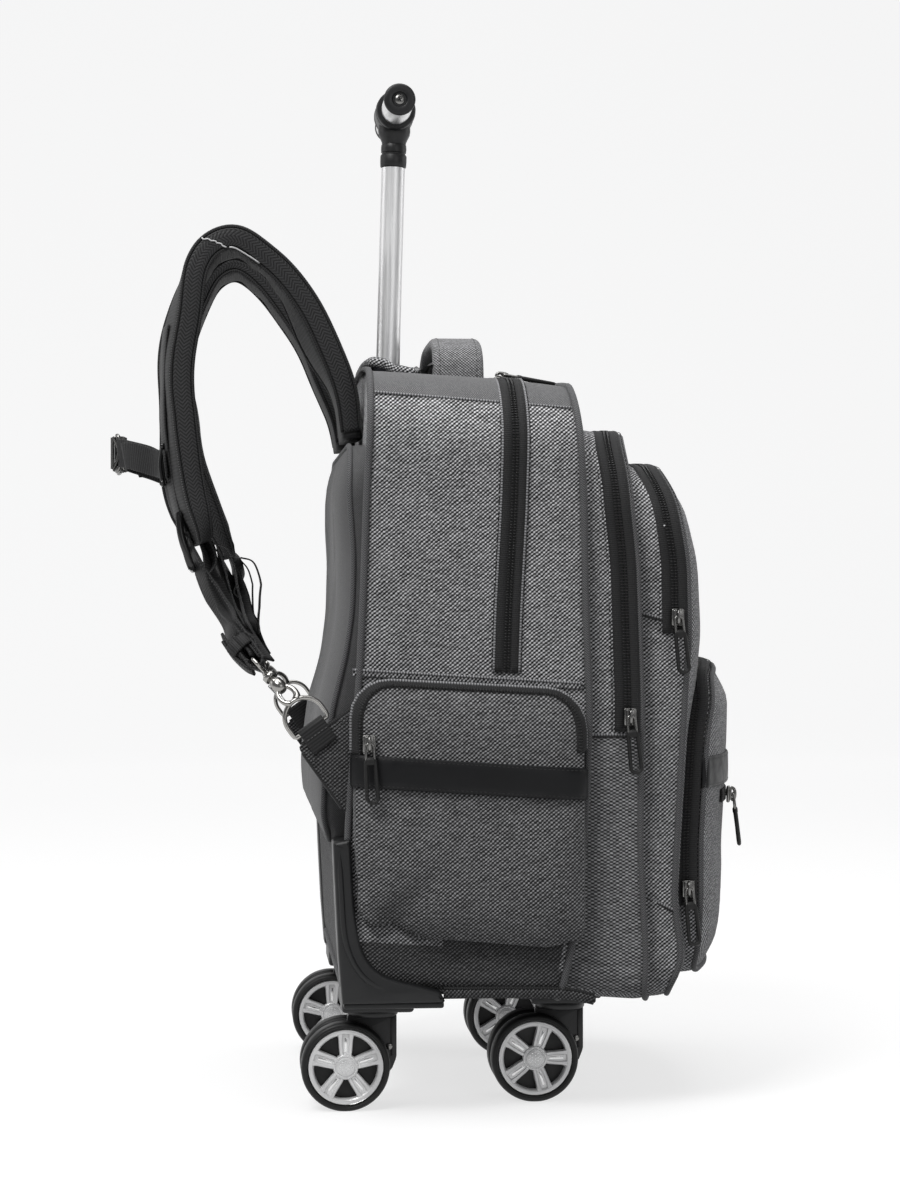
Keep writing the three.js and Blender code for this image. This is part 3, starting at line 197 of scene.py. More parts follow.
def woven(name, dark, light, pitch, tint=(1.0, 1.0, 1.02), relief=0.00022, rough=0.8, sheen=0.25,
          streak=0.35,
          sharp=1.0, lean=0.5, rise=1.0):
    """Weave in UV millimetres, with light threads over a darker ground. A lean above 0.5 makes it a twill."""
    n = Nodes(name)
    u, v = n.uv()
    wobble = n.cloudy(160.0, 2.0)
    wobble = n.spread(wobble, 0.0, 1.0, -0.18 * pitch, 0.18 * pitch)
    a = n.math("ADD", u, wobble)
    b = n.math("ADD", v, wobble)
    turn = 2 * math.pi / pitch
    b = n.math("DIVIDE", b, rise)
    wave_a = n.math("COSINE", n.math("MULTIPLY", n.math("ADD", a, b), turn))
    wave_b = n.math("COSINE", n.math("MULTIPLY", n.math("SUBTRACT", a, b), turn))
    both = n.math("SUBTRACT", n.math("MULTIPLY", wave_b, 1.0 - lean), n.math("MULTIPLY", wave_a, lean))
    knot = n.spread(both, -0.8, 0.8)
    cell = n.node("ShaderNodeCombineXYZ")
    n.feed(cell, "X", n.math("FLOOR", n.math("DIVIDE", a, pitch / 2)))
    n.feed(cell, "Y", n.math("FLOOR", n.math("DIVIDE", b, pitch / 2)))
    grain = n.node(
        "ShaderNodeTexWhiteNoise", {"noise_dimensions": "3D"}, Vector=cell.outputs[0]
    ).outputs["Value"]
    lines = n.node("ShaderNodeCombineXYZ", X=n.math("MULTIPLY", u, 0.06), Y=n.math("MULTIPLY", v, 0.9))
    streaks = n.cloudy(1.0, 2.0, 0.5, lines.outputs[0])
    raised = n.math("POWER", knot, sharp)
    share = n.math("MULTIPLY", raised, n.spread(grain, 0.0, 1.0, 0.62, 1.15))
    share = n.math("ADD", share, n.spread(streaks, 0.3, 0.7, -streak * 0.3, streak * 0.3), True)
    colour = n.mixed(share, rgb(dark, tint), rgb(light, tint))
    clouds = n.cloudy(9.0, 3.0)
    colour = n.mixed(1.0, colour, n.mixed(n.spread(clouds, 0.3, 0.7), rgb(0.9), rgb(1.08)), "MULTIPLY")
    fuzz = n.cloudy(2600.0, 1.0)
    normal = n.bump(fuzz, 0.00008, 0.5)
    normal = n.bump(knot, relief, 0.9, normal)
    return n.surface(
        Base_Color=colour, Roughness=rough, Normal=normal, Sheen_Weight=sheen, Sheen_Roughness=0.5,
        Specular_IOR_Level=0.25,
    )


def moulded(
    name, level, rough, tint=(1.0, 1.0, 1.0), grain=0.00006, scale=900.0, metallic=0.0, worn=0.0, **more
):
    """Moulded plastic, rubber or plated metal with a fine grain and uneven gloss"""
    n = Nodes(name)
    fine = n.cloudy(scale, 3.0, 0.6)
    broad = n.cloudy(22.0, 3.0, 0.55)
    colour = n.mixed(n.spread(broad, 0.3, 0.7), rgb(level * 0.9, tint), rgb(level * 1.12, tint))
    if worn:
        edge = n.node("ShaderNodeNewGeometry").outputs["Pointiness"]
        colour = n.mixed(
            n.spread(edge, 0.5, 0.62, 0.0, worn), colour, rgb(min(level * 3 + 0.08, 0.9), tint)
        )
    gloss = n.spread(n.cloudy(60.0, 4.0, 0.6), 0.3, 0.7, rough * 0.85, min(rough * 1.18, 1.0))
    return n.surface(
        Base_Color=colour, Roughness=gloss, Metallic=metallic, Normal=n.bump(fine, grain, 0.6), **more
    )


def brushed(name, level, rough, along=(1.0, 1.0, 0.02), tint=(1.0, 1.0, 1.0), metallic=1.0):
    """Drawn or turned metal, with fine lines along one direction"""
    n = Nodes(name)
    stretch = n.node("ShaderNodeMapping", Vector=n.place(), Scale=tuple(900.0 * part for part in along))
    lines = n.cloudy(1.0, 3.0, 0.6, stretch.outputs[0])
    broad = n.cloudy(14.0, 2.0)
    colour = n.mixed(n.spread(lines, 0.25, 0.75), rgb(level * 0.88, tint), rgb(level * 1.06, tint))
    gloss = n.math(
        "ADD", n.spread(lines, 0.2, 0.8, rough * 0.8, rough * 1.25), n.spread(broad, 0.3, 0.7, -0.03, 0.03)
    )
    return n.surface(
        Base_Color=colour, Roughness=gloss, Metallic=metallic, Normal=n.bump(lines, 0.00003, 0.5)
    )


def leathery(name, level, tint=(0.95, 0.98, 1.12)):
    n = Nodes(name)
    cells = n.node("ShaderNodeTexVoronoi", {"feature": "DISTANCE_TO_EDGE"}, Scale=900.0, Vector=n.place())
    pebble = n.spread(cells.outputs["Distance"], 0.0, 0.25)
    broad = n.cloudy(18.0, 4.0, 0.6)
    colour = n.mixed(n.spread(broad, 0.3, 0.7), rgb(level * 0.8, tint), rgb(level * 1.3, tint))
    normal = n.bump(pebble, 0.00004, 0.3)
    normal = n.bump(broad, 0.0006, 0.25, normal)
    gloss = n.spread(n.cloudy(120.0, 3.0), 0.3, 0.7, 0.38, 0.55)
    return n.surface(Base_Color=colour, Roughness=gloss, Normal=normal, Specular_IOR_Level=0.22)


def ribbed(name, level, pitch=1.5, tint=(1.0, 1.0, 1.03), chevron=0.0, contrast=1.5, rough=0.72, sheen=0.3):
    """Webbing or tape: ribs across its length, in UV millimetres, with an optional chevron"""
    n = Nodes(name)
    u, v = n.uv()
    if chevron:
        fold = n.math("PINGPONG", u, chevron)
        v = n.math("ADD", v, fold)
    wave = n.math("SINE", n.math("MULTIPLY", v, 2 * math.pi / pitch))
    cross = n.math("SINE", n.math("MULTIPLY", u, 2 * math.pi / (pitch * 0.8)))
    height = n.math("ADD", n.spread(wave, -1.0, 1.0), n.math("MULTIPLY", cross, 0.2))
    fuzz = n.cloudy(2200.0, 1.0)
    share = n.math("MULTIPLY", n.spread(wave, -1.0, 1.0), n.spread(fuzz, 0.25, 0.75, 0.6, 1.1), True)
    colour = n.mixed(share, rgb(level / contrast, tint), rgb(level * contrast, tint))
    normal = n.bump(fuzz, 0.00006, 0.4)
    normal = n.bump(height, 0.00016, 0.8, normal)
    return n.surface(
        Base_Color=colour, Roughness=rough, Normal=normal, Sheen_Weight=sheen, Specular_IOR_Level=0.3
    )


CLOTH = woven("charcoal_weave", 0.008, 0.80, 3.1, relief=0.0004, sheen=0.1, sharp=2.1, lean=0.64, rise=0.84)
CLOTH_POCKET = woven(
    "pocket_weave", 0.006, 0.44, 3.1, relief=0.0004, sheen=0.1, sharp=2.1, lean=0.6, rise=0.84
)
# Painted shade: the same weave as the body cloth, only darker, for cloth that lies under or behind other
# parts
CLOTH_SHADED = woven(
    "shaded_weave", 0.005, 0.20, 3.1, relief=0.0004, sheen=0.1, sharp=2.1, lean=0.64, rise=0.84
)
CLOTH_LOW = woven(
    "gusset_weave", 0.010, 0.56, 4.2, relief=0.0003, sheen=0.1, sharp=1.8, lean=0.5, rise=0.56
)
CLOTH_TOP = woven("top_cloth", 0.050, 0.20, 1.5, relief=0.0001, rough=0.7, sheen=0.15, streak=0.2)
HANDLE_CLOTH = woven(
    "handle_weave", 0.030, 0.46, 2.2, relief=0.0002, sheen=0.1, sharp=1.4, lean=0.62, rise=0.8
)
EDGE_LIGHT = ribbed("folded_edge", 0.16, 1.9, contrast=2.8, rough=0.7, sheen=0.1)
PAD = woven("smooth_pad", 0.050, 0.120, 1.5, relief=0.00010, rough=0.62, sheen=0.15, streak=0.2)
PIPING = ribbed("piping_cloth", 0.070, 1.6, chevron=2.2, contrast=2.6, rough=0.7, sheen=0.1)
PIPING_DARK = ribbed("binding_black", 0.010, 1.5, contrast=2.4, rough=0.6, sheen=0.05)
CORD_LIGHT = moulded("light_cord", 0.62, 0.42, grain=0.00002, scale=900.0)
GLOSSY = moulded("glossy_black", 0.010, 0.20, grain=0.00001, scale=400.0)
CHROME_DARK = moulded("dark_chrome", 0.45, 0.14, grain=0.00001, scale=700.0, metallic=1.0)
TAPE = ribbed("zip_tape", 0.014, 1.4, contrast=1.8, sheen=0.05)
COIL = moulded("zip_coil", 0.010, 0.36)
WEBBING = ribbed("webbing", 0.010, 2.0, contrast=2.6, sheen=0.05, rough=0.6)
MESH = ribbed("strap_mesh", 0.009, 2.4, contrast=2.6, rough=0.7, sheen=0.05)
EDGE_TAPE = ribbed("edge_binding", 0.013, 2.6, chevron=3.6, contrast=3.4, rough=0.5, sheen=0.05)
LINING = woven("slot_lining", 0.20, 0.30, 0.9, tint=(0.95, 0.95, 1.12), relief=0.00005, rough=0.55)
LEATHER = leathery("strip_leather", 0.0055)
THREAD = moulded("thread_grey", 0.10, 0.7, grain=0.00004, scale=2500.0)
THREAD_DARK = moulded("thread_black", 0.012, 0.6, grain=0.00004, scale=2500.0)
PLASTIC = moulded("black_plastic", 0.010, 0.40, tint=(0.97, 0.99, 1.05), Specular_IOR_Level=0.4)
SATIN = moulded(
    "satin_guard", 0.013, 0.42, tint=(0.97, 0.99, 1.04), grain=0.0001, scale=1400.0,
    Specular_IOR_Level=0.35,
)
RUBBER = moulded("tyre_rubber", 0.007, 0.5, grain=0.00006, scale=1500.0, Specular_IOR_Level=0.35)
GUNMETAL = moulded("gunmetal", 0.20, 0.24, tint=(1.0, 0.99, 0.96), grain=0.00002, scale=700.0, metallic=1.0)
NICKEL = moulded(
    "dark_nickel", 0.33, 0.22, tint=(1.0, 0.98, 0.94), grain=0.00002, scale=700.0, metallic=1.0
)
SILVER = brushed("pole_silver", 0.88, 0.40, metallic=0.85)
RIM = moulded("rim_silver", 0.74, 0.36, grain=0.00002, scale=700.0, metallic=0.35)
CHROME = moulded("rim_bright", 0.72, 0.16, grain=0.00001, scale=700.0, metallic=0.9)
floor_nodes = Nodes("floor_paint")
floor_reach = floor_nodes.node("ShaderNodeSeparateXYZ", i0=floor_nodes.place()).outputs[0]
FLOOR = floor_nodes.surface(
    Base_Color=(0.34, 0.34, 0.34, 1.0), Roughness=0.8, Emission_Color=(1.0, 1.0, 1.0, 1.0),
    Emission_Strength=floor_nodes.spread(floor_reach, 0.6, 3.4, 0.69, 0.80), Specular_IOR_Level=0.05,
)


# Geometry
class Shape:
    """Gathers points, faces and materials, and becomes one object with put()"""

    def __init__(self):
        self.points = []
        self.faces = []
        self.kinds = []
        self.maps = []

    def add(self, points, faces, kind, maps=None):
        base = len(self.points)
        self.points.extend(tuple(map(float, p)) for p in points)
        for i, face in enumerate(faces):
            self.faces.append(tuple(base + k for k in face))
            self.kinds.append(kind)
            self.maps.append(maps[i] if maps else None)
        return self

    def grid(self, rows, kind, around=True, ends=True, along=None, flat=False):
        """Rows of points as one skin. along gives the UV of each row and column, in mm."""
        rows = np.asarray(rows, float)
        count, width = rows.shape[:2]
        faces, maps = [], []
        if along is None:
            step = np.linalg.norm(np.diff(rows, axis=0), axis=2).mean(axis=1) if count > 1 else np.zeros(0)
            down = np.concatenate([[0.0], np.cumsum(step)])
            closed = np.concatenate([rows, rows[:, :1]], axis=1)
            wide = np.linalg.norm(np.diff(closed, axis=1), axis=2).mean(axis=0)
            over = np.concatenate([[0.0], np.cumsum(wide)])
        else:
            down, over = along
        last = width if around else width - 1
        for r in range(count - 1):
            for i in range(last):
                j = (i + 1) % width
                faces.append((r * width + i, r * width + j, (r + 1) * width + j, (r + 1) * width + i))
                maps.append(
                    None if flat else
                    ((over[i], down[r]), (over[i + 1], down[r]), (over[i + 1], down[r + 1]),
                    (over[i], down[r + 1]))
                )
        points = list(rows.reshape(-1, 3))
        if ends and around:
            for first in (0, (count - 1) * width):
                points.append(rows.reshape(-1, 3)[first:first + width].mean(axis=0))
                middle = len(points) - 1
                for i in range(width):
                    faces.append((middle, first + i, first + (i + 1) % width))
                    maps.append(None)
        return self.add(points, faces, kind, maps)

    def tube(self, path, radius, kind, sides=10, closed=False, flat=1.0, up=None):
        """A round or flattened cord along a row of points"""
        path = np.asarray(path, float)
        count = len(path)
        if closed:
            along = np.roll(path, -1, axis=0) - np.roll(path, 1, axis=0)
        else:
            along = np.gradient(path, axis=0)
        along /= np.maximum(np.linalg.norm(along, axis=1, keepdims=True), 1e-9)
        side = unit(np.cross(along[0], up if up is not None else (0.31, 0.52, 0.79)))
        rows = []
        radii = np.broadcast_to(np.asarray(radius, float), (count,))
        for i in range(count):
            if up is not None:
                side = unit(np.cross(along[i], up))
            else:
                side = unit(side - along[i] * float(np.dot(side, along[i])))
            other = np.cross(along[i], side)
            turn = np.arange(sides) * 2 * math.pi / sides
            rows.append(
                path[i] + radii[i] * (np.outer(np.cos(turn), side) + flat * np.outer(np.sin(turn), other))
            )
        if closed:
            rows.append(rows[0])
        return self.grid(rows, kind, True, not closed)

    def strip(self, path, across, width, thick, kind, edge=0.5, sides=5, closed=False):
        """A flat strap with rounded edges along a row of points"""
        path = np.asarray(path, float)
        across = np.asarray(across, float)
        along = np.gradient(path, axis=0)
        rows = []
        for i in range(len(path)):
            a = unit(along[i])
            s = unit(across[i] - a * float(np.dot(across[i], a)))
            n = np.cross(a, s)
            w = (width[i] if hasattr(width, "__len__") else width) / 2
            t = (thick[i] if hasattr(thick, "__len__") else thick) / 2
            ring = []
            for end in (1, -1):
                for k in range(sides):
                    turn = -math.pi / 2 + math.pi * k / (sides - 1)
                    wide = w - t * edge + t * edge * math.cos(turn)
                    ring.append(path[i] + s * end * wide + n * end * t * math.sin(turn))
            rows.append(ring)
        return self.grid(rows, kind, True, not closed)

    def lathe(self, profile, kind, turn=None, sides=40):
        """A profile of (radius, height) turned about Z, then placed by a matrix"""
        turn = turn or Matrix.Identity(4)
        angles = np.arange(sides) * 2 * math.pi / sides
        rows = []
        for radius, height in profile:
            ring = np.stack(
                [radius * np.cos(angles), radius * np.sin(angles), np.full(sides, height)], axis=1
            )
            rows.append([tuple(turn @ Vector(p)) for p in ring])
        closed = profile[0] == profile[-1]
        return self.grid(rows, kind, True, not closed, flat=True)

    def block(self, size, kind, turn, soft=0.25, steps=2):
        """A box with softened edges, placed by a matrix"""
        made = bmesh.new()
        bmesh.ops.create_cube(made, size=1.0)
        bmesh.ops.scale(made, vec=Vector(size), verts=made.verts)
        if soft:
            bmesh.ops.bevel(
                made, geom=list(made.edges), offset=soft * min(size), segments=steps, profile=0.5,
                affect="EDGES"
            )
        points = [tuple(turn @ v.co) for v in made.verts]
        made.verts.ensure_lookup_table()
        faces = [tuple(v.index for v in f.verts) for f in made.faces]
        made.free()
        return self.add(points, faces, kind)

    def plate(self, outline, holes, thick, kind, turn, soft=0.0):
        """A flat outline with holes, given thickness along Z, then placed by a matrix"""
        made = bmesh.new()
        edges = []
        for loop in [outline, *holes]:
            corners = [made.verts.new((x, y, 0)) for x, y in loop]
            edges += [
                made.edges.new((corners[i], corners[(i + 1) % len(corners)])) for i in range(len(corners))
            ]
        bmesh.ops.triangle_fill(made, use_beauty=True, use_dissolve=False, edges=edges)
        flat = list(made.faces)
        raised = bmesh.ops.extrude_face_region(made, geom=flat)["geom"]
        top = [g for g in raised if isinstance(g, bmesh.types.BMVert)]
        bmesh.ops.translate(made, vec=(0, 0, thick), verts=top)
        bmesh.ops.recalc_face_normals(made, faces=list(made.faces))
        if soft:
            folded = [e for e in made.edges if len(e.link_faces) == 2 and e.calc_face_angle(0) > 0.9]
            rims = [e for e in folded if abs(e.verts[0].co.z - e.verts[1].co.z) < 1e-6]
            bmesh.ops.bevel(made, geom=rims, offset=soft, segments=2, profile=0.5, affect="EDGES")
        made.verts.ensure_lookup_table()
        made.verts.index_update()
        points = [tuple(turn @ v.co) for v in made.verts]
        faces = [tuple(v.index for v in f.verts) for f in made.faces]
        made.free()
        return self.add(points, faces, kind)

    def beads(self, path, normals, pitch, length, width, height, kind, lift=0.0, turned=False):
        """Stitches or teeth: small bars set along a path at an even pitch"""
        path = np.asarray(path, float)
        normals = np.asarray(normals, float)
        run = np.concatenate([[0.0], np.cumsum(np.linalg.norm(np.diff(path, axis=0), axis=1))])
        for s in np.arange(pitch / 2, run[-1] - pitch / 4, pitch):
            spot = np.array([np.interp(s, run, path[:, k]) for k in range(3)])
            ahead = np.array([np.interp(min(s + 1, run[-1]), run, path[:, k]) for k in range(3)])
            behind = np.array([np.interp(max(s - 1, 0), run, path[:, k]) for k in range(3)])
            a = unit(ahead - behind)
            n = np.array([np.interp(s, run, normals[:, k]) for k in range(3)])
            n = unit(n - a * float(np.dot(n, a)))
            c = np.cross(a, n)
            if turned:
                a, c = c, a
            spot = spot + n * lift
            half = length / 2
            points = [
                spot - a * half, spot + a * half,
                spot - a * half * 0.6 - c * width / 2, spot + a * half * 0.6 - c * width / 2,
                spot - a * half * 0.6 + c * width / 2, spot + a * half * 0.6 + c * width / 2,
                spot - a * half * 0.6 + n * height, spot + a * half * 0.6 + n * height,
            ]
            self.add(
                points,
                [(0, 2, 6), (0, 6, 4), (1, 7, 3), (1, 5, 7), (2, 3, 7, 6), (6, 7, 5, 4), (0, 4, 2),
                (1, 3, 5), (4, 5, 3, 2)],
                kind,
            )
        return self


def put(shape, name, body, kinds, replaces=(), sharp=None):
    """The gathered shape as one object, on its body, in metres"""
    mesh = bpy.data.meshes.new(name)
    spots = np.asarray(shape.points, float)
    spots[:, 1] += SHIFT
    spots /= 1000.0
    mesh.from_pydata([tuple(p) for p in spots], [], shape.faces)
    slots = {}
    for kind in kinds:
        slots[kind.name] = len(slots)
        mesh.materials.append(kind)
    mesh.polygons.foreach_set("material_index", [slots[kind.name] for kind in shape.kinds])
    mesh.polygons.foreach_set("use_smooth", [True] * len(mesh.polygons))
    layer = mesh.uv_layers.new(name="weave")
    mesh.update()
    for polygon, given in zip(mesh.polygons, shape.maps):
        normal = polygon.normal
        axis = max(range(3), key=lambda k: abs(normal[k]))
        first, second = ((1, 2), (0, 2), (0, 1))[axis]
        for i, loop in enumerate(polygon.loop_indices):
            if given:
                layer.data[loop].uv = (given[i][0] / 1000.0, given[i][1] / 1000.0)
            else:
                spot = mesh.vertices[mesh.loops[loop].vertex_index].co
                layer.data[loop].uv = (spot[first], spot[second])
    tidy = bmesh.new()
    tidy.from_mesh(mesh)
    bmesh.ops.remove_doubles(tidy, verts=tidy.verts, dist=1e-6)
    bmesh.ops.recalc_face_normals(tidy, faces=tidy.faces)
    if sharp:
        for edge in tidy.edges:
            if len(edge.link_faces) == 2 and edge.calc_face_angle(0) > math.radians(sharp):
                edge.smooth = False
    tidy.to_mesh(mesh)
    tidy.free()
    made = bpy.data.objects.new(name, mesh)
    bpy.context.scene.collection.objects.link(made)
    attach(made, body)
    if replaces:
        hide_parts(*replaces)
    return made


# Padded forms, as in the part
def face_line(rows, reach, floor, top):
    """The table of one face as a smooth curve of height"""
    heights, shares = zip(*rows)
    levels = np.linspace(floor - 80, top + 80, 500)
    value = reach * np.interp((levels - floor) / (top - floor), heights, shares)
    width = 0.022 * (top - floor) / (levels[1] - levels[0])
    reach_out = int(3 * width) + 1
    bell = np.exp(-0.5 * (np.arange(-reach_out, reach_out + 1) / width) ** 2)
    value = np.convolve(np.pad(value, reach_out, "edge"), bell / bell.sum(), "valid")
    return lambda z: np.interp(z, levels, value)


class Form:
    """An outline in XZ carried from a rear face to a front face"""

    def __init__(self, **given):
        plain = dict(
            crown=0, tilt_floor=0, tilt_top=0, dome_power=6, rear_dome=0, front_dome=0, front_bow=0,
        )
        self.__dict__.update(plain)
        self.__dict__.update(given)
        self.height = self.top_rear - self.floor_rear

    def outline(self, step=6.5, grow=0.0):
        """Points (x, z) from the floor's right end, up over the top and back along the floor"""
        flat_top = self.half - self.top_radius
        flat_floor = self.half - self.foot_radius
        shoulder = self.height - self.crown - self.top_radius
        points = []

        def arc(x, z, radius, start, steps):
            for i in range(steps + 1):
                turn = start + math.pi / 2 * i / steps
                points.append((x + (radius + grow) * math.cos(turn), z + (radius + grow) * math.sin(turn)))

        foot_steps = max(3, int(self.foot_radius / 4))
        top_steps = max(4, int(self.top_radius / 4.5))
        side_steps = max(2, int((shoulder - self.foot_radius) / step))
        arc(flat_floor, self.foot_radius, self.foot_radius, -math.pi / 2, foot_steps)
        for i in range(1, side_steps):
            points.append((self.half + grow, mix(self.foot_radius, shoulder, i / side_steps)))
        arc(flat_top, shoulder, self.top_radius, 0, top_steps)
        across = max(4, int(2 * flat_top / step))
        for i in range(1, across):
            share = 1 - 2 * i / across
            points.append((flat_top * share, self.height - self.crown * share ** 2 + grow))
        arc(-flat_top, shoulder, self.top_radius, math.pi / 2, top_steps)
        for i in range(side_steps - 1, 0, -1):
            points.append((-self.half - grow, mix(self.foot_radius, shoulder, i / side_steps)))
        arc(-flat_floor, self.foot_radius, self.foot_radius, math.pi, foot_steps)
        along = max(3, int(2 * flat_floor / (2 * step)))
        for i in range(1, along):
            points.append((mix(-flat_floor, flat_floor, i / along), -grow))
        return np.array(points)

    def ring(self, outline, depth, spread=1.0, grow=0.0):
        """The outline at a depth from 0 on the rear face to 1 on the front face"""
        x = outline[:, 0] * spread
        share = 0.5 + (outline[:, 1] / self.height - 0.5) * spread
        depth = np.broadcast_to(np.asarray(depth, float), x.shape)
        floor = mix(self.floor_rear, self.floor_front, depth)
        top = mix(self.top_rear, self.top_front, depth)
        z = mix(floor, top, share) + mix(self.tilt_floor, self.tilt_top, share) * (x / self.half)
        dome = 1 - spread ** self.dome_power
        bow = np.maximum(1 - (x / self.half) ** 2, 0)
        rear = self.rear(z) + grow + self.rear_dome * dome
        front = self.front(z) - grow - self.front_dome * dome - self.front_bow * bow
        return np.stack([x, mix(rear, front, depth), z], axis=1)

    def depth_at(self, outline, setback):
        """The depth that lies a distance behind the front edge, point by point"""
        rear = self.ring(outline, 0.0)
        front = self.ring(outline, 1.0)
        return 1 - setback / np.maximum(rear[:, 1] - front[:, 1], 1e-6)


body_form = Form(
    half=BODY_HALF, floor_rear=88, floor_front=78, top_rear=502, top_front=492, top_radius=52,
    foot_radius=12,
    crown=6,
    rear=face_line([
        (0.0, 1.0), (0.04, 0.99), (0.15, 0.985), (0.31, 0.95), (0.46, 0.885), (0.62, 0.845), (0.78, 0.82),
        (0.9, 0.785), (1.0, 0.775),
    ], BODY_BACK, 88, 502),
    front=face_line([
        (0.0, 0.73), (0.04, 0.8), (0.15, 0.91), (0.31, 0.965), (0.46, 1.0), (0.62, 0.965), (0.78, 0.95),
        (0.9, 0.925), (1.0, 0.88),
    ], -BODY_FRONT, 78, 492),
)
front_form = Form(
    half=150, floor_rear=81, floor_front=75, top_rear=463, top_front=457, top_radius=58, foot_radius=16,
    crown=5,
    front_bow=20,
    rear=lambda z: body_form.front(z) + TUCK,
    front=face_line([
        (0.0, 0.98), (0.06, 1.0), (0.25, 0.967), (0.52, 0.975), (0.76, 0.949), (0.9, 0.898), (1.0, 0.8),
    ], -118, 75, 460),
)
middle_form = Form(
    half=140, floor_rear=76, floor_front=76, top_rear=440, top_front=434, top_radius=56, foot_radius=20,
    crown=5,
    front_bow=16, front_dome=7, dome_power=8,
    rear=lambda z: front_form.front(z) + TUCK,
    front=face_line([
        (0.0, 0.87), (0.06, 0.965), (0.17, 0.92), (0.4, 0.95), (0.6, 0.98), (0.66, 0.993), (0.81, 0.985),
        (0.92, 0.935), (1.0, 0.81),
    ], -150, 76, 437),
)
lower_form = Form(
    half=128, floor_rear=90, floor_front=90, top_rear=301, top_front=295, top_radius=50, foot_radius=22,
    crown=5,
    front_bow=30, front_dome=4,
    rear=lambda z: middle_form.front(z) + TUCK,
    front=face_line([
        (0.0, 0.89), (0.08, 0.935), (0.24, 0.945), (0.43, 0.945), (0.7, 0.965), (0.88, 0.98), (1.0, 0.92),
    ], -168, 90, 298),
)
pad_form = Form(
    half=145, floor_rear=180, floor_front=180, top_rear=445, top_front=445, top_radius=34, foot_radius=44,
    rear_dome=8, dome_power=8,
    rear=face_line([
        (0.0, 0.86), (0.07, 0.92), (0.2, 0.905), (0.34, 0.86), (0.475, 0.775), (0.58, 0.735), (0.72, 0.725),
        (0.88, 0.755), (1.0, 0.74),
    ], 106, 180, 445),
    front=lambda z: body_form.rear(z) - TUCK,
)
apron_form = Form(
    half=128, floor_rear=94, floor_front=94, top_rear=178, top_front=178, top_radius=10, foot_radius=10,
    rear=face_line([(0.0, 0.95), (1.0, 1.0)], 90, 94, 178),
    front=lambda z: body_form.rear(z) - TUCK,
)
SIDE_MIDDLE = 1.5
side_form = Form(
    half=75.5, floor_rear=121, floor_front=121, top_rear=284, top_front=284, top_radius=24, foot_radius=16,
    tilt_top=4, tilt_floor=9, front_dome=8,
    rear=lambda z: np.full(np.shape(z), -BODY_HALF - GAP), front=lambda z: np.full(np.shape(z), -SIDE_FACE),
)


def outward(outline):
    """Normals of an outline in XZ, facing away from it"""
    chord = np.roll(outline, -1, axis=0) - np.roll(outline, 1, axis=0)
    out = np.stack([chord[:, 1], np.zeros(len(outline)), -chord[:, 0]], axis=1)
    return out / np.maximum(np.linalg.norm(out, axis=1, keepdims=True), 1e-9)


def normals_of(rows, around=True):
    """Normals of a grid of points, facing away from its middle"""
    if around:
        over = np.roll(rows, -1, axis=1) - np.roll(rows, 1, axis=1)
    else:
        over = np.gradient(rows, axis=1)
    down = np.gradient(rows, axis=0)
    normal = np.cross(down, over)
    normal /= np.maximum(np.linalg.norm(normal, axis=2, keepdims=True), 1e-9)
    middle = rows.reshape(-1, 3).mean(axis=0)
    if float(((rows - middle) * normal).sum()) < 0:
        normal = -normal
    return normal


def cloudiness(points, scale, seed):
    """Smooth noise from -1 to 1 at each point, with features of a size in mm"""
    flat = points.reshape(-1, 3)
    offset = Vector((seed * 17.3, seed * 5.1, seed * 9.7))
    value = [noise.noise(Vector(p) / scale + offset) for p in flat]
    return np.array(value).reshape(points.shape[:-1])


def creases(points, table, axes):
    """Sum of long soft folds. Each row is (a0, b0, a1, b1, width, depth) in a plane of the part."""
    total = np.zeros(points.shape[:-1])
    spot = points[..., list(axes)]
    for a0, b0, a1, b1, width, depth in table:
        start = np.array([a0, b0], float)
        run = np.array([a1 - a0, b1 - b0], float)
        length = float(np.linalg.norm(run))
        run /= length
        rel = spot - start
        t = rel @ run
        off = rel @ np.array([-run[1], run[0]])
        fade = np.clip(np.minimum(t, length - t) / (0.3 * length) + 0.35, 0, 1)
        fade = fade * fade * (3 - 2 * fade)
        total += depth * fade * np.exp(-(off / width) ** 2)
    return total


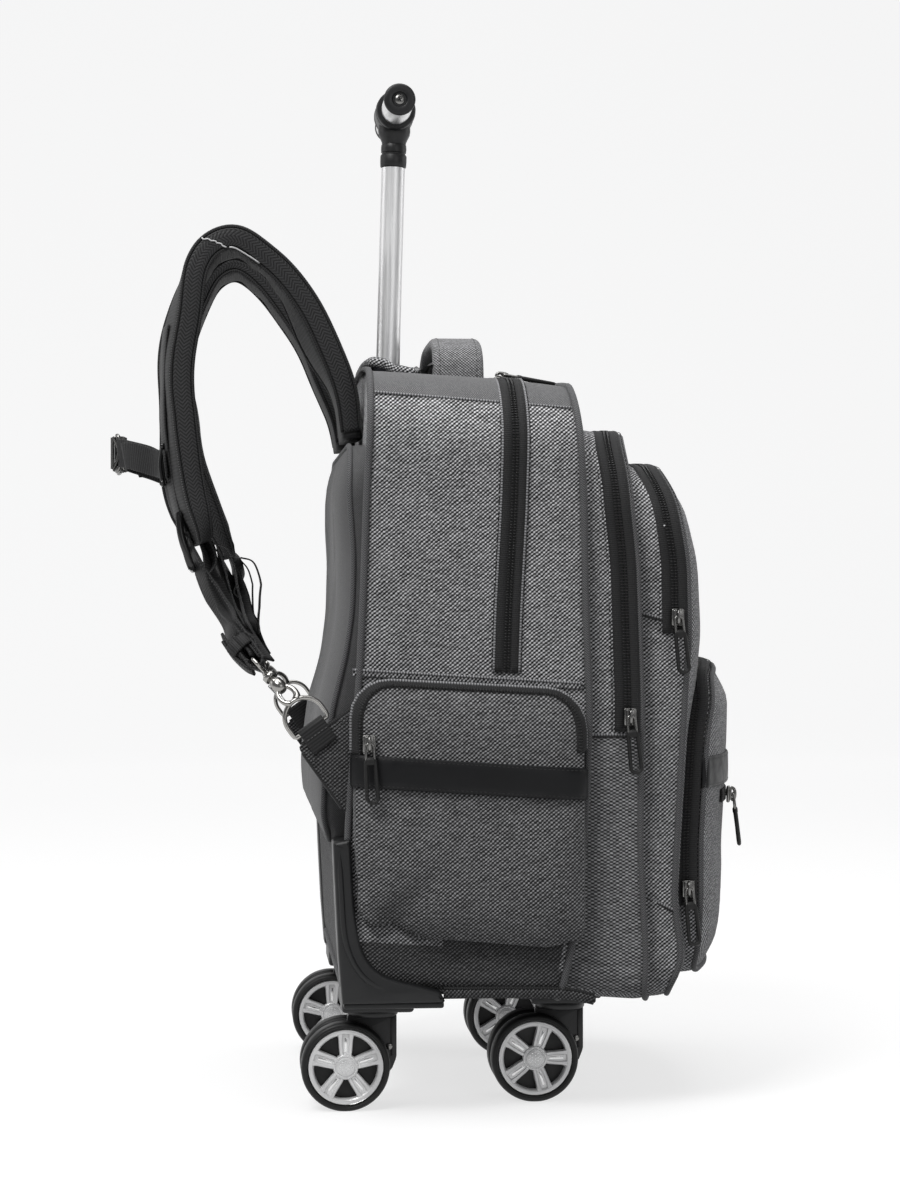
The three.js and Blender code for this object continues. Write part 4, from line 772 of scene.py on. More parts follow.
class Skin:
    """A form's skin as a grid of rings, which folds move before it is meshed"""

    def __init__(self, form, step=6.5, rear=(0.04, 0.5, 1.0), front=(1.0, 0.97, 0.9, 0.75, 0.55, 0.3, 0.04),
                 bulge=2.0, side_step=6.0):
        self.form = form
        self.outline = form.outline(step)
        base = form.ring(self.outline, 0.0)
        nose = form.ring(self.outline, 1.0)
        deep = float(np.max(base[:, 1] - nose[:, 1]))
        steps = max(3, int(deep / side_step))
        rows = [form.ring(self.outline, 0.0, s) for s in rear]
        kinds = [(0.0, s) for s in rear]
        out = outward(self.outline)
        for i in range(1, steps):
            d = i / steps
            ring = form.ring(self.outline, d)
            swell = bulge * (4 * d * (1 - d)) ** 0.5
            ring[:, 0] += out[:, 0] * swell
            ring[:, 2] += out[:, 2] * swell
            rows.append(ring)
            kinds.append((d, 1.0))
        for s in front:
            rows.append(form.ring(self.outline, 1.0, s))
            kinds.append((1.0, s))
        self.rows = np.array(rows)
        self.kinds = kinds

    def push(self, amount):
        """Moves each point along its normal by an array of millimetres"""
        self.rows = self.rows + normals_of(self.rows) * amount[..., None]

    def side_share(self):
        """1 in the middle of the side walls and the faces, 0 at the seams, for folds that die out there"""
        share = []
        for d, s in self.kinds:
            if s < 1:
                share.append(min((1 - s) / 0.12, 1.0))
            else:
                share.append(min(min(d, 1 - d) / 0.12, 1.0) if 0 < d < 1 else 0.0)
        return np.array(share)[:, None]

    def rough(self, size, depth, seed):
        self.push(cloudiness(self.rows, size, seed) * depth * self.side_share())

    def fold(self, table, axes, where=None):
        amount = creases(self.rows, table, axes) * self.side_share()
        if where is not None:
            amount = amount * where(self.rows)
        self.push(amount)

    def into(self, shape, kind):
        return shape.grid(self.rows, kind, flat=True)


def rim_path(form, depth, grow=0.0, step=5.0, low=None):
    """The seam line round a form at a depth, as points and normals. low keeps what is above a level."""
    outline = form.outline(step)
    path = form.ring(outline, depth)
    out = outward(outline)
    path = path + out * grow
    if low is None:
        return path, out
    keep = np.where(path[:, 2] >= low)[0]
    # The outline starts at the floor, so what is above a level is one run of points
    first, last = keep[0], keep[-1]
    return path[first:last + 1], out[first:last + 1]


def resampled(path, pitch):
    path = np.asarray(path, float)
    run = np.concatenate([[0.0], np.cumsum(np.linalg.norm(np.diff(path, axis=0), axis=1))])
    count = max(2, int(round(run[-1] / pitch)) + 1)
    spots = np.linspace(0, run[-1], count)
    return np.stack([np.interp(spots, run, path[:, k]) for k in range(3)], axis=1)


def spline(points, pitch):
    """A smooth curve through points, at an even pitch"""
    points = np.asarray(points, float)
    ends = np.vstack([2 * points[0] - points[1], points, 2 * points[-1] - points[-2]])
    fine = []
    for i in range(1, len(ends) - 2):
        p0, p1, p2, p3 = ends[i - 1:i + 3]
        for t in np.linspace(0, 1, 12, endpoint=False):
            fine.append(
                0.5 * (2 * p1 + (p2 - p0) * t + (2 * p0 - 5 * p1 + 4 * p2 - p3) * t * t
                       + (3 * p1 - p0 - 3 * p2 + p3) * t ** 3)
            )
    fine.append(ends[-2])
    return resampled(fine, pitch)


# Floor and backdrop as one curved sheet, and soft light
def backdrop():
    rows = []
    profile = [(-2.6, 0.0), (-1.2, 0.0), (0.0, 0.0), (0.9, 0.0), (1.8, 0.0), (2.7, 0.0), (3.6, 0.0)]
    bend, radius = 3.6, 1.1
    for i in range(1, 13):
        turn = math.pi / 2 * i / 12
        profile.append((bend + radius * math.sin(turn), radius - radius * math.cos(turn)))
    profile.append((bend + radius, 4.2))
    for run, rise in profile:
        rows.append([(run * 1000, y * 1000 - SHIFT, rise * 1000) for y in (-5.0, -2.0, 0.0, 2.0, 5.0)])
    shape = Shape().grid(np.array(rows), FLOOR, around=False, ends=False)
    mesh = bpy.data.meshes.new("backdrop")
    spots = np.asarray(shape.points)
    spots[:, 1] += SHIFT
    mesh.from_pydata([tuple(p) for p in spots / 1000.0], [], shape.faces)
    mesh.materials.append(FLOOR)
    mesh.polygons.foreach_set("use_smooth", [True] * len(mesh.polygons))
    made = bpy.data.objects.new("backdrop", mesh)
    bpy.context.scene.collection.objects.link(made)
    made.visible_diffuse = False


backdrop()


def lamp(name, spot, aim, size, power, tint=(1.0, 1.0, 1.0)):
    data = bpy.data.lights.new(name, "AREA")
    data.shape = "RECTANGLE"
    data.size, data.size_y = size
    data.energy = power
    data.color = tint
    made = bpy.data.objects.new(name, data)
    made.location = spot
    made.rotation_euler = (Vector(aim) - Vector(spot)).to_track_quat("-Z", "Y").to_euler()
    bpy.context.scene.collection.objects.link(made)


lamp("key", (-1.5, 1.2, 2.5), (0, 0, 0.42), (1.1, 1.1), 50)
lamp("front", (-2.4, -1.0, 1.2), (0, 0, 0.3), (1.2, 1.4), 7)
lamp("top", (0.0, 0.0, 2.6), (0, 0, 0.2), (1.8, 1.8), 34)
lamp("back_left", (0.4, 2.0, 1.1), (0, 0, 0.35), (0.9, 1.6), 7)
lamp("back_right", (0.4, -2.0, 1.0), (0, 0, 0.35), (0.9, 1.6), 7)
world = bpy.data.worlds.new("studio")
bpy.context.scene.world = world
world.use_nodes = True
world.node_tree.nodes["Background"].inputs[0].default_value = (0.97, 0.975, 1.0, 1)
world.node_tree.nodes["Background"].inputs[1].default_value = 0.22
bpy.context.scene.view_settings.view_transform = "Standard"
bpy.context.scene.view_settings.look = "None"


# Zips
COIL_WIDTH = 5.0
COIL_PITCH = 2.0


def zip_run(shape, path, normals, width, lift=0.0, stitch=True, seam=THREAD_DARK, edge=None):
    """Tape with a raised coil, stitched along both edges. Points of the path lie on the cloth."""
    path = np.asarray(path, float)
    normals = np.asarray(normals, float)
    along = np.gradient(path, axis=0)
    along /= np.maximum(np.linalg.norm(along, axis=1, keepdims=True), 1e-9)
    across = np.cross(along, normals)
    across /= np.maximum(np.linalg.norm(across, axis=1, keepdims=True), 1e-9)
    half = width / 2
    section = [
        (-half, -2.4), (-half, 0.5), (-half + 0.8, 1.2), (-half + 2.6, 1.3), (-3.4, 1.25), (-2.9, 0.75),
        (0, 0.55), (2.9, 0.75), (3.4, 1.25), (half - 2.6, 1.3), (half - 0.8, 1.2), (half, 0.5),
        (half, -2.4),
    ]
    if width < 10:
        section = [
            (-half, -0.6), (-half, 0.5), (-half + 0.5, 1.0), (-2.3, 0.9), (0, 0.5), (2.3, 0.9),
            (half - 0.5, 1.0), (half, 0.5), (half, -0.6),
        ]
    rows = [
        [p + a * s + n * (h + lift) for s, h in section]
        for p, a, n in zip(path, across, normals)
    ]
    shape.grid(np.array(rows), TAPE)
    coil = COIL_WIDTH if width > 10 else 3.4
    for side in (-1, 1):
        shape.beads(
            path + across * side * coil * 0.24, normals, COIL_PITCH, coil * 0.52, 1.3, 1.0, COIL,
            0.6 + lift,
            turned=True,
        )
        if stitch:
            shape.beads(
                path + across * side * (half - 1.9), normals, 3.4, 2.3, 0.5, 0.28, seam, 1.2 + lift,
            )
            shape.beads(
                path + across * side * (half + 1.7), normals, 3.6, 2.4, 0.8, 0.5, seam, lift - 0.1,
            )
        if edge is not None:
            shape.tube(path + across * side * (half + 0.5) + normals * 0.7, 0.75, edge, 6)


def stadium(half, low, high, steps=8):
    """A long loop in the XZ plane, in order"""
    points = []
    for i in range(steps + 1):
        turn = math.pi * i / steps
        points.append((half * math.cos(turn), 0.0, high - half + half * math.sin(turn)))
    for i in range(steps + 1):
        turn = math.pi + math.pi * i / steps
        points.append((half * math.cos(turn), 0.0, low + half + half * math.sin(turn)))
    return points


def pull_matrix(spot, outward, down=(0, 0, -1)):
    up = -unit(down)
    out = unit(np.asarray(outward, float) - up * float(np.dot(outward, up)))
    side = np.cross(out, up)
    return Matrix(((side[0], out[0], up[0], spot[0]), (side[1], out[1], up[1], spot[1]),
                   (side[2], out[2], up[2], spot[2]), (0, 0, 0, 1)))


def slider(shape, spot, outward, down=(0, 0, -1), swing=0.0, length=36.0, sway=0.0):
    """Gunmetal slider with its bridge, a metal link and a long soft loop pull"""
    turn = pull_matrix(spot, outward, down)
    m = turn @ Matrix.Translation((0, 1.6, 0))
    shape.block((8.6, 2.4, 11.5), GUNMETAL, m, 0.4, 3)
    shape.block((6.0, 1.6, 9.0), GUNMETAL, m @ Matrix.Translation((0, 1.6, 0.4)), 0.45, 3)
    bridge = spline([(0, 2.0, -4.2), (0, 4.0, -3.2), (0, 4.6, 0.2), (0, 4.0, 3.4), (0, 1.8, 4.6)], 0.8)
    shape.tube(
        [tuple(m @ Vector(p)) for p in bridge], 1.15, GUNMETAL, 8,
        up=tuple((turn.to_3x3() @ Vector((1, 0, 0))))
    )
    hang = m @ Matrix.Translation(
        (0, 3.2, -1.0)
    ) @ Matrix.Rotation(swing, 4, "X") @ Matrix.Rotation(sway, 4, "Y")
    link = [(x, 0.4, z) for x, y, z in stadium(2.7, -12.0, 1.6, 6)]
    shape.tube([tuple(hang @ Vector(p)) for p in link], 0.95, GUNMETAL, 8, closed=True)
    loop = [
        (x * (1.0 + 0.16 * max(0, -(z + 14) / 20)), 0.3, z) for x, y, z in stadium(3.1, -length, -8.5, 8)
    ]
    shape.tube([tuple(hang @ Vector(p)) for p in loop], 1.35, RUBBER, 10, closed=True, flat=1.0)
    neck = hang @ Matrix.Translation((0, 0.3, -10.4))
    shape.block((6.2, 3.4, 4.6), RUBBER, neck, 0.35, 3)


def arch(form, end_level, setback, step=4.0, grow=GAP):
    """Centre line of a zip up one side of a form, over it and down the other, with normals"""
    outline = form.outline(step)
    depth = form.depth_at(outline, np.array([setback(z / form.height) for z in outline[:, 1]]))
    return rim_path(form, depth, grow, step, end_level)


def piping(shape, form, depth, radius=2.1, grow=1.0, kind=None, low=None):
    path, _ = rim_path(form, depth, grow, 5.0, low)
    shape.tube(path, radius, kind or PIPING, 10, closed=low is None)


def seam_stitch(shape, form, depth_offset, side="front", kind=None):
    """A row of stitches beside a seam, on the side wall"""
    outline = form.outline(5.0)
    depth = form.depth_at(outline, depth_offset) if side == "front" else depth_offset / np.maximum(
        form.ring(outline, 0.0)[:, 1] - form.ring(outline, 1.0)[:, 1], 1e-6)
    path = form.ring(outline, depth)
    shape.beads(path, outward(outline), 3.4, 2.3, 0.5, 0.3, kind or THREAD, 0.2)


# Bag body
MAIN_SETBACK = (70.0, 40.0)
body = Shape()
skin = Skin(body_form, 6.0, rear=(0.05, 0.6, 1.0), front=(1.0, 0.6, 0.05), bulge=1.6, side_step=5.5)
skin.fold([
    (20, 488, 30, 330, 10, 0.8), (60, 470, 55, 300, 14, 0.7), (-50, 470, -62, 300, 12, 0.8),
    (70, 300, 10, 330, 16, 0.7), (-20, 118, 60, 92, 5, -1.6), (-40, 105, 20, 88, 4, 1.2),
    (70, 122, 20, 112, 5, 1.0), (-70, 128, -30, 96, 5, -1.2), (60, 96, 84, 150, 6, -0.8),
], (1, 2))
skin.rough(70, 1.1, 1)
skin.rough(22, 0.35, 2)
skin.into(body, CLOTH)


def on_corner(form, depth, turn, side, grow=0.0):
    """A point on a form's top corner, at a turn from its side wall and a depth from its rear"""
    reach = form.top_radius + grow
    spot = [
        side * (form.half - form.top_radius + reach * math.cos(turn)),
        form.height - form.crown - form.top_radius + reach * math.sin(turn),
    ]
    return form.ring(np.array([spot]), depth)[0]


def recloth(shape, test, kind):
    """Another cloth for the faces whose middle passes a test"""
    for i, face in enumerate(shape.faces):
        middle = np.mean([shape.points[k] for k in face], axis=0)
        if test(*middle):
            shape.kinds[i] = kind


TOP_TURN = math.pi / 2 * 5 / 11
top_line = np.array([on_corner(body_form, d, TOP_TURN, -1) for d in np.linspace(1, 0, 40)])
recloth(body, lambda x, y, z: z > np.interp(y, top_line[:, 1], top_line[:, 2]), CLOTH_TOP)
# Painted shade: the side wall's low rear corner, below the pocket and above the foot, gets the darker copy of
# the weave
recloth(body, lambda x, y, z: z < 117 and y > -60 and abs(x) > 150, CLOTH_SHADED)
piping(body, body_form, 0.0, 2.3)
piping(body, body_form, 1.0, 2.3)
seam_stitch(body, body_form, 5.5, "rear", THREAD_DARK)
seam_stitch(body, body_form, 5.5, "front", THREAD_DARK)
put(
    body, "bag_body", "bag", (CLOTH, CLOTH_TOP, CLOTH_SHADED, PIPING, THREAD_DARK),
    ("main_body",),
)

zips = Shape()
path, out = arch(body_form, 292, lambda share: mix(MAIN_SETBACK[0], MAIN_SETBACK[1], share), grow=1.9)
zip_run(zips, path, out, MAIN_ZIP_WIDTH, edge=EDGE_LIGHT)
slider(zips, (-60, -31, 493.6), (0, -0.07, 1), (0, -1, -0.16), swing=-0.02)
put(
    zips, "main_zip_closed", "bag", (TAPE, COIL, THREAD_DARK, EDGE_LIGHT, GUNMETAL, RUBBER),
    ("main_zip",),
)


# Compartments
ZIP_LOOKS = (TAPE, COIL, THREAD_DARK, GUNMETAL, RUBBER)
# Shares of the face that its rings keep, from the seam to the middle
FACE_STEPS = (1.0, 0.985, 0.965, 0.94, 0.91, 0.87, 0.82, 0.76, 0.69, 0.61, 0.52, 0.42, 0.31, 0.2, 0.1, 0.03)


def compartment(name, form, replaced, zip_name, end_level, width, setback, folds, seed, zip_node, seams=(),
                low_cloth=None, bulge=2.2, swing=0.06):
    """A padded compartment with its arched zip. Each seam is (y, z, y, z) on both side walls."""
    shape = Shape()
    skin = Skin(form, 6.0, rear=(0.5, 1.0), front=FACE_STEPS, bulge=bulge, side_step=5.0)
    skin.fold(folds, (1, 2))
    skin.rough(60, 1.2, seed)
    skin.rough(20, 0.35, seed + 1)
    skin.into(shape, CLOTH)
    if low_cloth:
        recloth(shape, lambda x, y, z: z < low_cloth and abs(x) > form.half - 4, CLOTH_LOW)
    piping(shape, form, 1.0, 2.0)
    for y0, z0, y1, z1 in seams:
        for side in (-1, 1):
            line = [
                (side * (form.half + bulge * 0.8), mix(y0, y1, t), mix(z0, z1, t))
                for t in np.linspace(0, 1, 12)
            ]
            shape.tube(line, 0.9, EDGE_LIGHT, 6)
            shape.tube([(x, y, z - 1.4) for x, y, z in line], 0.8, PIPING_DARK, 6)
    put(
        shape, name, "bag", (CLOTH, CLOTH_LOW, PIPING, PIPING_DARK, EDGE_LIGHT), replaced,
    )
    closed = Shape()
    path, out = arch(form, end_level, lambda share: setback, grow=bulge * 0.9 + 0.5)
    zip_run(closed, path, out, width)
    level = end_level + 12
    spot = (-form.half - bulge * 0.9 - 1.6, float(form.front(level)) + setback * 0.85, level)
    slider(closed, spot, (-1, 0, 0), swing=swing, sway=0.1)
    put(closed, zip_name, "bag", ZIP_LOOKS, (zip_node,))


compartment(
    "front_bag", front_form, ("front_compartment",), "front_zip_closed", 252, BAG_ZIP_WIDTH, 10,
    [(-80, 250, -115, 236, 5, -0.8), (-85, 180, -112, 120, 8, 1.0), (-84, 130, -110, 90, 6, -1.0)], 5,
    "front_zip",
    seams=((-74, 252, -106, 252),), low_cloth=252,
)
compartment(
    "middle_bag", middle_form, ("middle_compartment",), "upper_zip_closed", 318, BAG_ZIP_WIDTH, 10,
    [(-112, 330, -145, 320, 6, -0.8), (-115, 300, -140, 240, 8, 0.8), (-112, 140, -138, 100, 6, -1.0)], 9,
    "upper_zip",
    seams=((-112, 334, -138, 327), (-114, 146, -140, 133)),
)
compartment(
    "lower_bag", lower_form, ("lower_pocket",), "lower_zip_closed", 135, BAG_ZIP_WIDTH, 11,
    [(-140, 160, -160, 110, 6, -0.8)], 13, "lower_zip",
)


# Lower pocket's leather strip and small zip, on the curved front
def face_strip(form, level, half_length, count=41):
    """Points and normals across the front of a form at one level"""
    xs = np.linspace(-half_length, half_length, count)
    share = (level - form.floor_front) / (form.top_front - form.floor_front)
    points = []
    for x in xs:
        spread = max(abs(x) / form.half, abs(share - 0.5) * 2)
        dome = 1 - spread ** form.dome_power
        bow = 1 - (x / form.half) ** 2
        points.append((x, float(form.front(level)) - form.front_dome * dome - form.front_bow * bow, level))
    points = np.array(points)
    along = np.gradient(points, axis=0)
    out = np.stack([along[:, 1], -along[:, 0], np.zeros(count)], axis=1)
    out /= np.linalg.norm(out, axis=1, keepdims=True)
    return points, out


def leather_band(shape, points, out, height, thick=1.6, lift=1.0):
    up = np.array([0.0, 0.0, 1.0])
    rows = []
    for p, n in zip(points, out):
        ring = [
            (-height / 2, -0.5), (-height / 2, 0.5 * thick), (-height / 2 + 0.7, thick),
            (-height / 4, thick * 1.15),
            (0, thick * 1.2), (height / 4, thick * 1.15), (height / 2 - 0.7, thick),
            (height / 2, 0.5 * thick),
            (height / 2, -0.5),
        ]
        rows.append([p + up * h + n * (t + lift) for h, t in ring])
    shape.grid(np.array(rows), LEATHER)
    for side in (-1, 1):
        shape.beads(
            points + up * side * (height / 2 - 1.9), out, 3.0, 2.0, 0.5, 0.25, THREAD_DARK, thick + lift
        )


strip = Shape()
points, out = face_strip(lower_form, LOWER_BAND_LEVEL, 124)
corner = float(lower_form.front(LOWER_BAND_LEVEL))
points = np.vstack([(-129.6, corner + 2.5, LOWER_BAND_LEVEL), (-128.4, corner - 1.0, LOWER_BAND_LEVEL),
                    points,
                    (128.4, corner - 1.0, LOWER_BAND_LEVEL),
                    (129.6, corner + 2.5, LOWER_BAND_LEVEL)])
out = np.vstack([(-1.0, -0.2, 0), (-0.8, -0.6, 0), out, (0.8, -0.6, 0), (1.0, -0.2, 0)])
leather_band(strip, points, out, BAND_HEIGHT, 1.1, 0.9)
put(strip, "lower_leather", "bag", (LEATHER, THREAD_DARK), ("lower_band",))
small = Shape()
points, out = face_strip(lower_form, SMALL_ZIP_LEVEL, 88)
zip_run(small, points, out, SMALL_ZIP_WIDTH, lift=0.8, stitch=False)
spot = points[4] + out[4] * 2.4
slider(small, spot, out[4], swing=0.12, length=34)
put(small, "small_zip_closed", "bag", (TAPE, COIL, GUNMETAL, RUBBER), ("small_zip",))

# Back pad and apron
pad = Shape()
skin = Skin(pad_form, 6.0, rear=(0.03, 0.2, 0.4, 0.55, 0.68, 0.78, 0.86, 0.92, 0.96, 0.985, 1.0),
            front=(1.0, 0.5),
            bulge=1.5, side_step=6.0)
flute = []
for x in (-62, 62):
    flute.append((x, 190, x, 425, 7, -3.2))
skin.fold(flute, (0, 2), lambda p: (p[..., 1] > pad_form.rear(p[..., 2]) - 2).astype(float))
skin.rough(80, 1.4, 21)
skin.rough(26, 0.5, 22)
skin.into(pad, PAD)
piping(pad, pad_form, 0.02, 1.9, 0.4, PIPING)
put(pad, "back_panel", "bag", (PAD, PIPING), ("back_pad",))

apron = Shape()
skin = Skin(apron_form, 6.0, rear=(0.05, 0.5, 0.85, 1.0), front=(1.0, 0.5), bulge=1.0)
skin.rough(40, 1.2, 25)
# Painted shade: the apron gets the darker copy of the weave
skin.into(apron, CLOTH_SHADED)
put(apron, "lower_back", "bag", (CLOTH_SHADED,), ("rear_apron",))


# Side pockets: made facing -Y, then turned onto their side of the bag
def to_side(points, side):
    points = np.asarray(points, float)
    flipped = np.stack([-points[..., 1], points[..., 0] + SIDE_MIDDLE, points[..., 2]], axis=-1)
    flipped[..., 0] *= side
    return flipped


def side_face(x, z, lift=0.0):
    """The pocket's front face at a point of its own plane"""
    form = side_form
    share = (z - form.floor_front) / form.height
    spread = max(abs(x) / form.half, abs(share - 0.5) * 2)
    dome = 1 - min(spread, 1.0) ** form.dome_power
    return -SIDE_FACE - form.front_dome * dome - lift


for label, side in SIDES:
    pocket = Shape()
    skin = Skin(side_form, 4.0, rear=(0.6, 1.0),
                front=(1.0, 0.985, 0.96, 0.92, 0.86, 0.78, 0.66, 0.5, 0.3, 0.05),
                bulge=0.8, side_step=2.5)
    # The cloth below the strip hangs fuller, and its bottom sags
    skin.rows[..., 2] -= 3.0 * np.exp(
        -((skin.rows[..., 2] - 124) / 12) ** 2
    ) * np.cos(skin.rows[..., 0] / 75 * 1.4)
    # A deep tuck at the rear of the bottom edge, and a small notch at its front
    across, level = skin.rows[..., 0].copy(), skin.rows[..., 2].copy()
    tuck = np.exp(-((across - 50) / 9) ** 2 - ((level - 121) / 15) ** 2)
    notch = np.exp(-((across + 64) / 5) ** 2 - ((level - 113) / 10) ** 2)
    skin.rows[..., 2] += 5.5 * tuck + 4.0 * notch
    skin.rows[..., 1] += 4.5 * tuck + 2.5 * notch
    skin.rows[..., 0] -= 2.4 * np.exp(-((across - 76) / 10) ** 2 - ((level - 150) / 26) ** 2)
    below = np.exp(-((skin.rows[..., 2] - 165) / 42) ** 2)
    face = skin.side_share() * (np.array([s for _, s in skin.kinds]) < 1)[:, None]
    skin.rows[..., 1] -= 2.2 * below * face
    skin.fold([
        (50, 126, 30, 160, 8, -3.0), (52, 128, 70, 164, 7, -2.6), (44, 122, -10, 150, 12, 1.8),
        (-62, 116, -50, 150, 7, -2.0), (-66, 130, -20, 158, 10, 1.4), (-70, 212, -30, 200, 7, -1.0),
        (10, 214, 60, 206, 8, -0.9), (66, 200, 30, 150, 12, 1.2),
        (-66, 268, -30, 276, 6, -0.7), (-40, 240, 60, 262, 26, 0.8),
    ], (0, 2))
    skin.rough(38, 0.9, 31 if side < 0 else 33)
    skin.rough(14, 0.25, 35 if side < 0 else 37)
    skin.rows = to_side(skin.rows, side)
    skin.into(pocket, CLOTH_POCKET)
    put(
        pocket, "side_bag_" + label, "bag", (CLOTH_POCKET,), ("side_pocket_" + label,),
    )

    band = Shape()
    xs = np.linspace(-75.5, 75.5, 31)
    levels = SIDE_BAND_LEVEL + SIDE_BAND_SLOPE * xs
    centre = [(x, side_face(x, level, 0.4), level) for x, level in zip(xs, levels)]
    centre = [
        (-75.9, -160.0, 220.7), (-76.1, -164.5, 220.7)
    ] + centre + [(76.1, -164.5, 230.3), (75.9, -160.0, 230.3)]
    centre = np.array(centre)
    out = np.array([(-1.0, 0, 0)] * 2 + [(0.0, -1.0, 0.0)] * 31 + [(1.0, 0, 0)] * 2)
    out[2] = unit((-1, -1, 0))
    out[32] = unit((1, -1, 0))
    turned = to_side(centre, side)
    normal = np.stack([-out[:, 1] * side, out[:, 0], out[:, 2]], axis=1)
    leather_band(band, turned, normal, BAND_HEIGHT, 1.6, 0.6)
    put(
        band, "side_leather_" + label, "bag", (LEATHER, THREAD_DARK),
        ("side_band_" + label,)
    )

    tape = Shape()
    outline = side_form.outline(3.0)
    ring = side_form.ring(outline, 0.72)
    out = outward(outline)
    # The tape narrows along the top
    level_part = np.clip(out[:, 2:], 0, 1) ** 2
    front = mix(side_form.ring(outline, 1.0, 0.965), side_form.ring(outline, 1.0, 0.992), level_part)
    inward = 1 - 0.72 * level_part[:, 0]
    keep = np.where(ring[:, 2] > 241)[0]
    first, last = keep[0], keep[-1] + 1
    facing = unit((0.0, -1.0, 0.0))
    rows = []
    for p, f, n, share in zip(ring[first:last], front[first:last], out[first:last], inward[first:last]):
        rows.append([
            p + n * 0.2 + np.array([0, 4.6, 0]), p + n * 1.5 + np.array([0, 4.0, 0]), p + n * 1.8,
            p + n * 1.7 + np.array([0, -2.2, 0]), f + n * 1.6 + facing * 0.6, f + facing * 1.5,
            f - n * 2.6 * share + facing * 1.6, f - n * 3.4 * share + facing * 1.0,
            f - n * 3.6 * share - facing * 0.6,
        ])
    tape.grid(to_side(np.array(rows), side), TAPE)
    coil_path = to_side(front[first:last] + out[first:last] * -0.6, side)
    coil_out = np.repeat([[float(side), 0.0, 0.0]], len(coil_path), axis=0)
    tape.beads(coil_path, coil_out, 2.0, 3.0, 1.2, 0.9, COIL, 1.3, turned=True)
    stitched = front[first:last] - out[first:last] * (5.4 * inward[first:last])[:, None]
    tape.beads(to_side(stitched, side), coil_out, 3.2, 2.1, 0.5, 0.3, THREAD, 0.9)
    rim = side_form.ring(outline, 0.25)[first:last] + out[first:last] * 2.0
    tape.tube(to_side(rim, side), 1.3, EDGE_LIGHT, 8)
    spot = to_side(np.array([66.5, side_face(66.5, 248, 2.0), 248]), side)
    slider(tape, spot, (side, 0, 0), swing=0.1, length=37, sway=-0.05 * side)
    put(
        tape, "side_zip_closed_" + label, "bag",
        (TAPE, COIL, THREAD, EDGE_LIGHT, GUNMETAL, RUBBER),
        ("side_zip_" + label,),
    )

# Seams across the side panels, along the top and along the foot
seams = Shape()
for side in (-1, 1):
    ys = np.linspace(-74, 78, 40)
    line = np.array([(side * (BODY_HALF + 2), y, SEAM_LEVEL + SEAM_SLOPE * y) for y in ys])
    normal = np.repeat([[float(side), 0, 0]], 40, axis=0)
    across = np.repeat([[0.0, 0.0, 1.0]], 40, axis=0)
    seams.strip(line - np.array([side * 0.6, 0, 2.0]), across, 4.0, 1.2, CLOTH)
    seams.tube(line, 0.85, EDGE_LIGHT, 6)
    seams.beads(line - np.array([0, 0, 4.4]), normal, 3.4, 2.3, 0.5, 0.35, THREAD_DARK, 0.3)
    line = [on_corner(body_form, d, TOP_TURN, side, 1.9) for d in np.linspace(0.02, 0.63, 30)]
    seams.tube(line, 0.85, EDGE_LIGHT, 6)
    line = [on_corner(body_form, d, TOP_TURN, side, 1.9) for d in np.linspace(0.77, 0.98, 12)]
    seams.tube(line, 0.7, EDGE_LIGHT, 6)
    foot = [(18, 86.0), (0, 86.0), (-30, 85.8), (-56, 85.2), (-70, 83.6), (-82, 80.6)]
    line = spline([(side * (BODY_HALF + 0.9), y, z) for y, z in foot], 4.0)
    seams.tube(line, 1.0, PIPING_DARK, 8)
    below = np.repeat([[side * 0.35, 0.0, 0.94]], len(line), axis=0)
    # Painted shade: the strip under the foot piping gets the darker copy of the weave
    seams.strip(line - np.array([side * 0.9, 0, 4.0]), below, 6.6, 2.6, CLOTH_SHADED, 0.9)
put(seams, "side_seams", "bag", (CLOTH, CLOTH_SHADED, EDGE_LIGHT, PIPING_DARK, THREAD_DARK))


# Grab handle: a padded arch over the top, wrapped and stitched
grab = Shape()
path = []
for i in range(41):
    turn = math.pi * (1 - i / 40)
    x = GRAB_HALF * math.copysign(abs(math.cos(turn)) ** 0.6, math.cos(turn))
    path.append((x, 0, GRAB_LEVEL + GRAB_RISE * math.sin(turn) ** 0.6))
path = resampled(path, 4.0)
path = np.vstack([path[0] - [0, 0, 5], path, path[-1] - [0, 0, 5]])
across = np.repeat([[0.0, 1.0, 0.0]], len(path), axis=0)
middle = np.abs(np.linspace(-1, 1, len(path)))
grab.strip(
    path, across, GRAB_WIDTH - 1.5 * (1 - middle), 8.0 + 1.2 * np.cos(middle * math.pi / 2), HANDLE_CLOTH,
    0.9, 9
)
for side in (-1, 1):
    edge = np.array(path[1:-1], float)
    along = np.gradient(edge, axis=0)
    out = np.stack([-along[:, 2], np.zeros(len(edge)), along[:, 0]], axis=1)
    out /= np.linalg.norm(out, axis=1, keepdims=True)
    if out[len(out) // 2][2] < 0:
        out = -out
    grab.beads(edge + np.array([0, 12.8 * side, 0]), out, 3.3, 2.2, 0.5, 0.3, THREAD_DARK, 4.5)
for side in (-1, 1):
    patch = [(side * 63, y, 497.5) for y in np.linspace(-16, 16, 9)]
    grab.beads(patch, np.repeat([[side * 0.9, 0, 0.4]], 9, axis=0), 3.2, 2.2, 0.5, 0.3, THREAD_DARK, 4.4)
put(
    grab, "grab_handle_padded", "bag", (HANDLE_CLOTH, THREAD_DARK), ("grab_handle",),
)


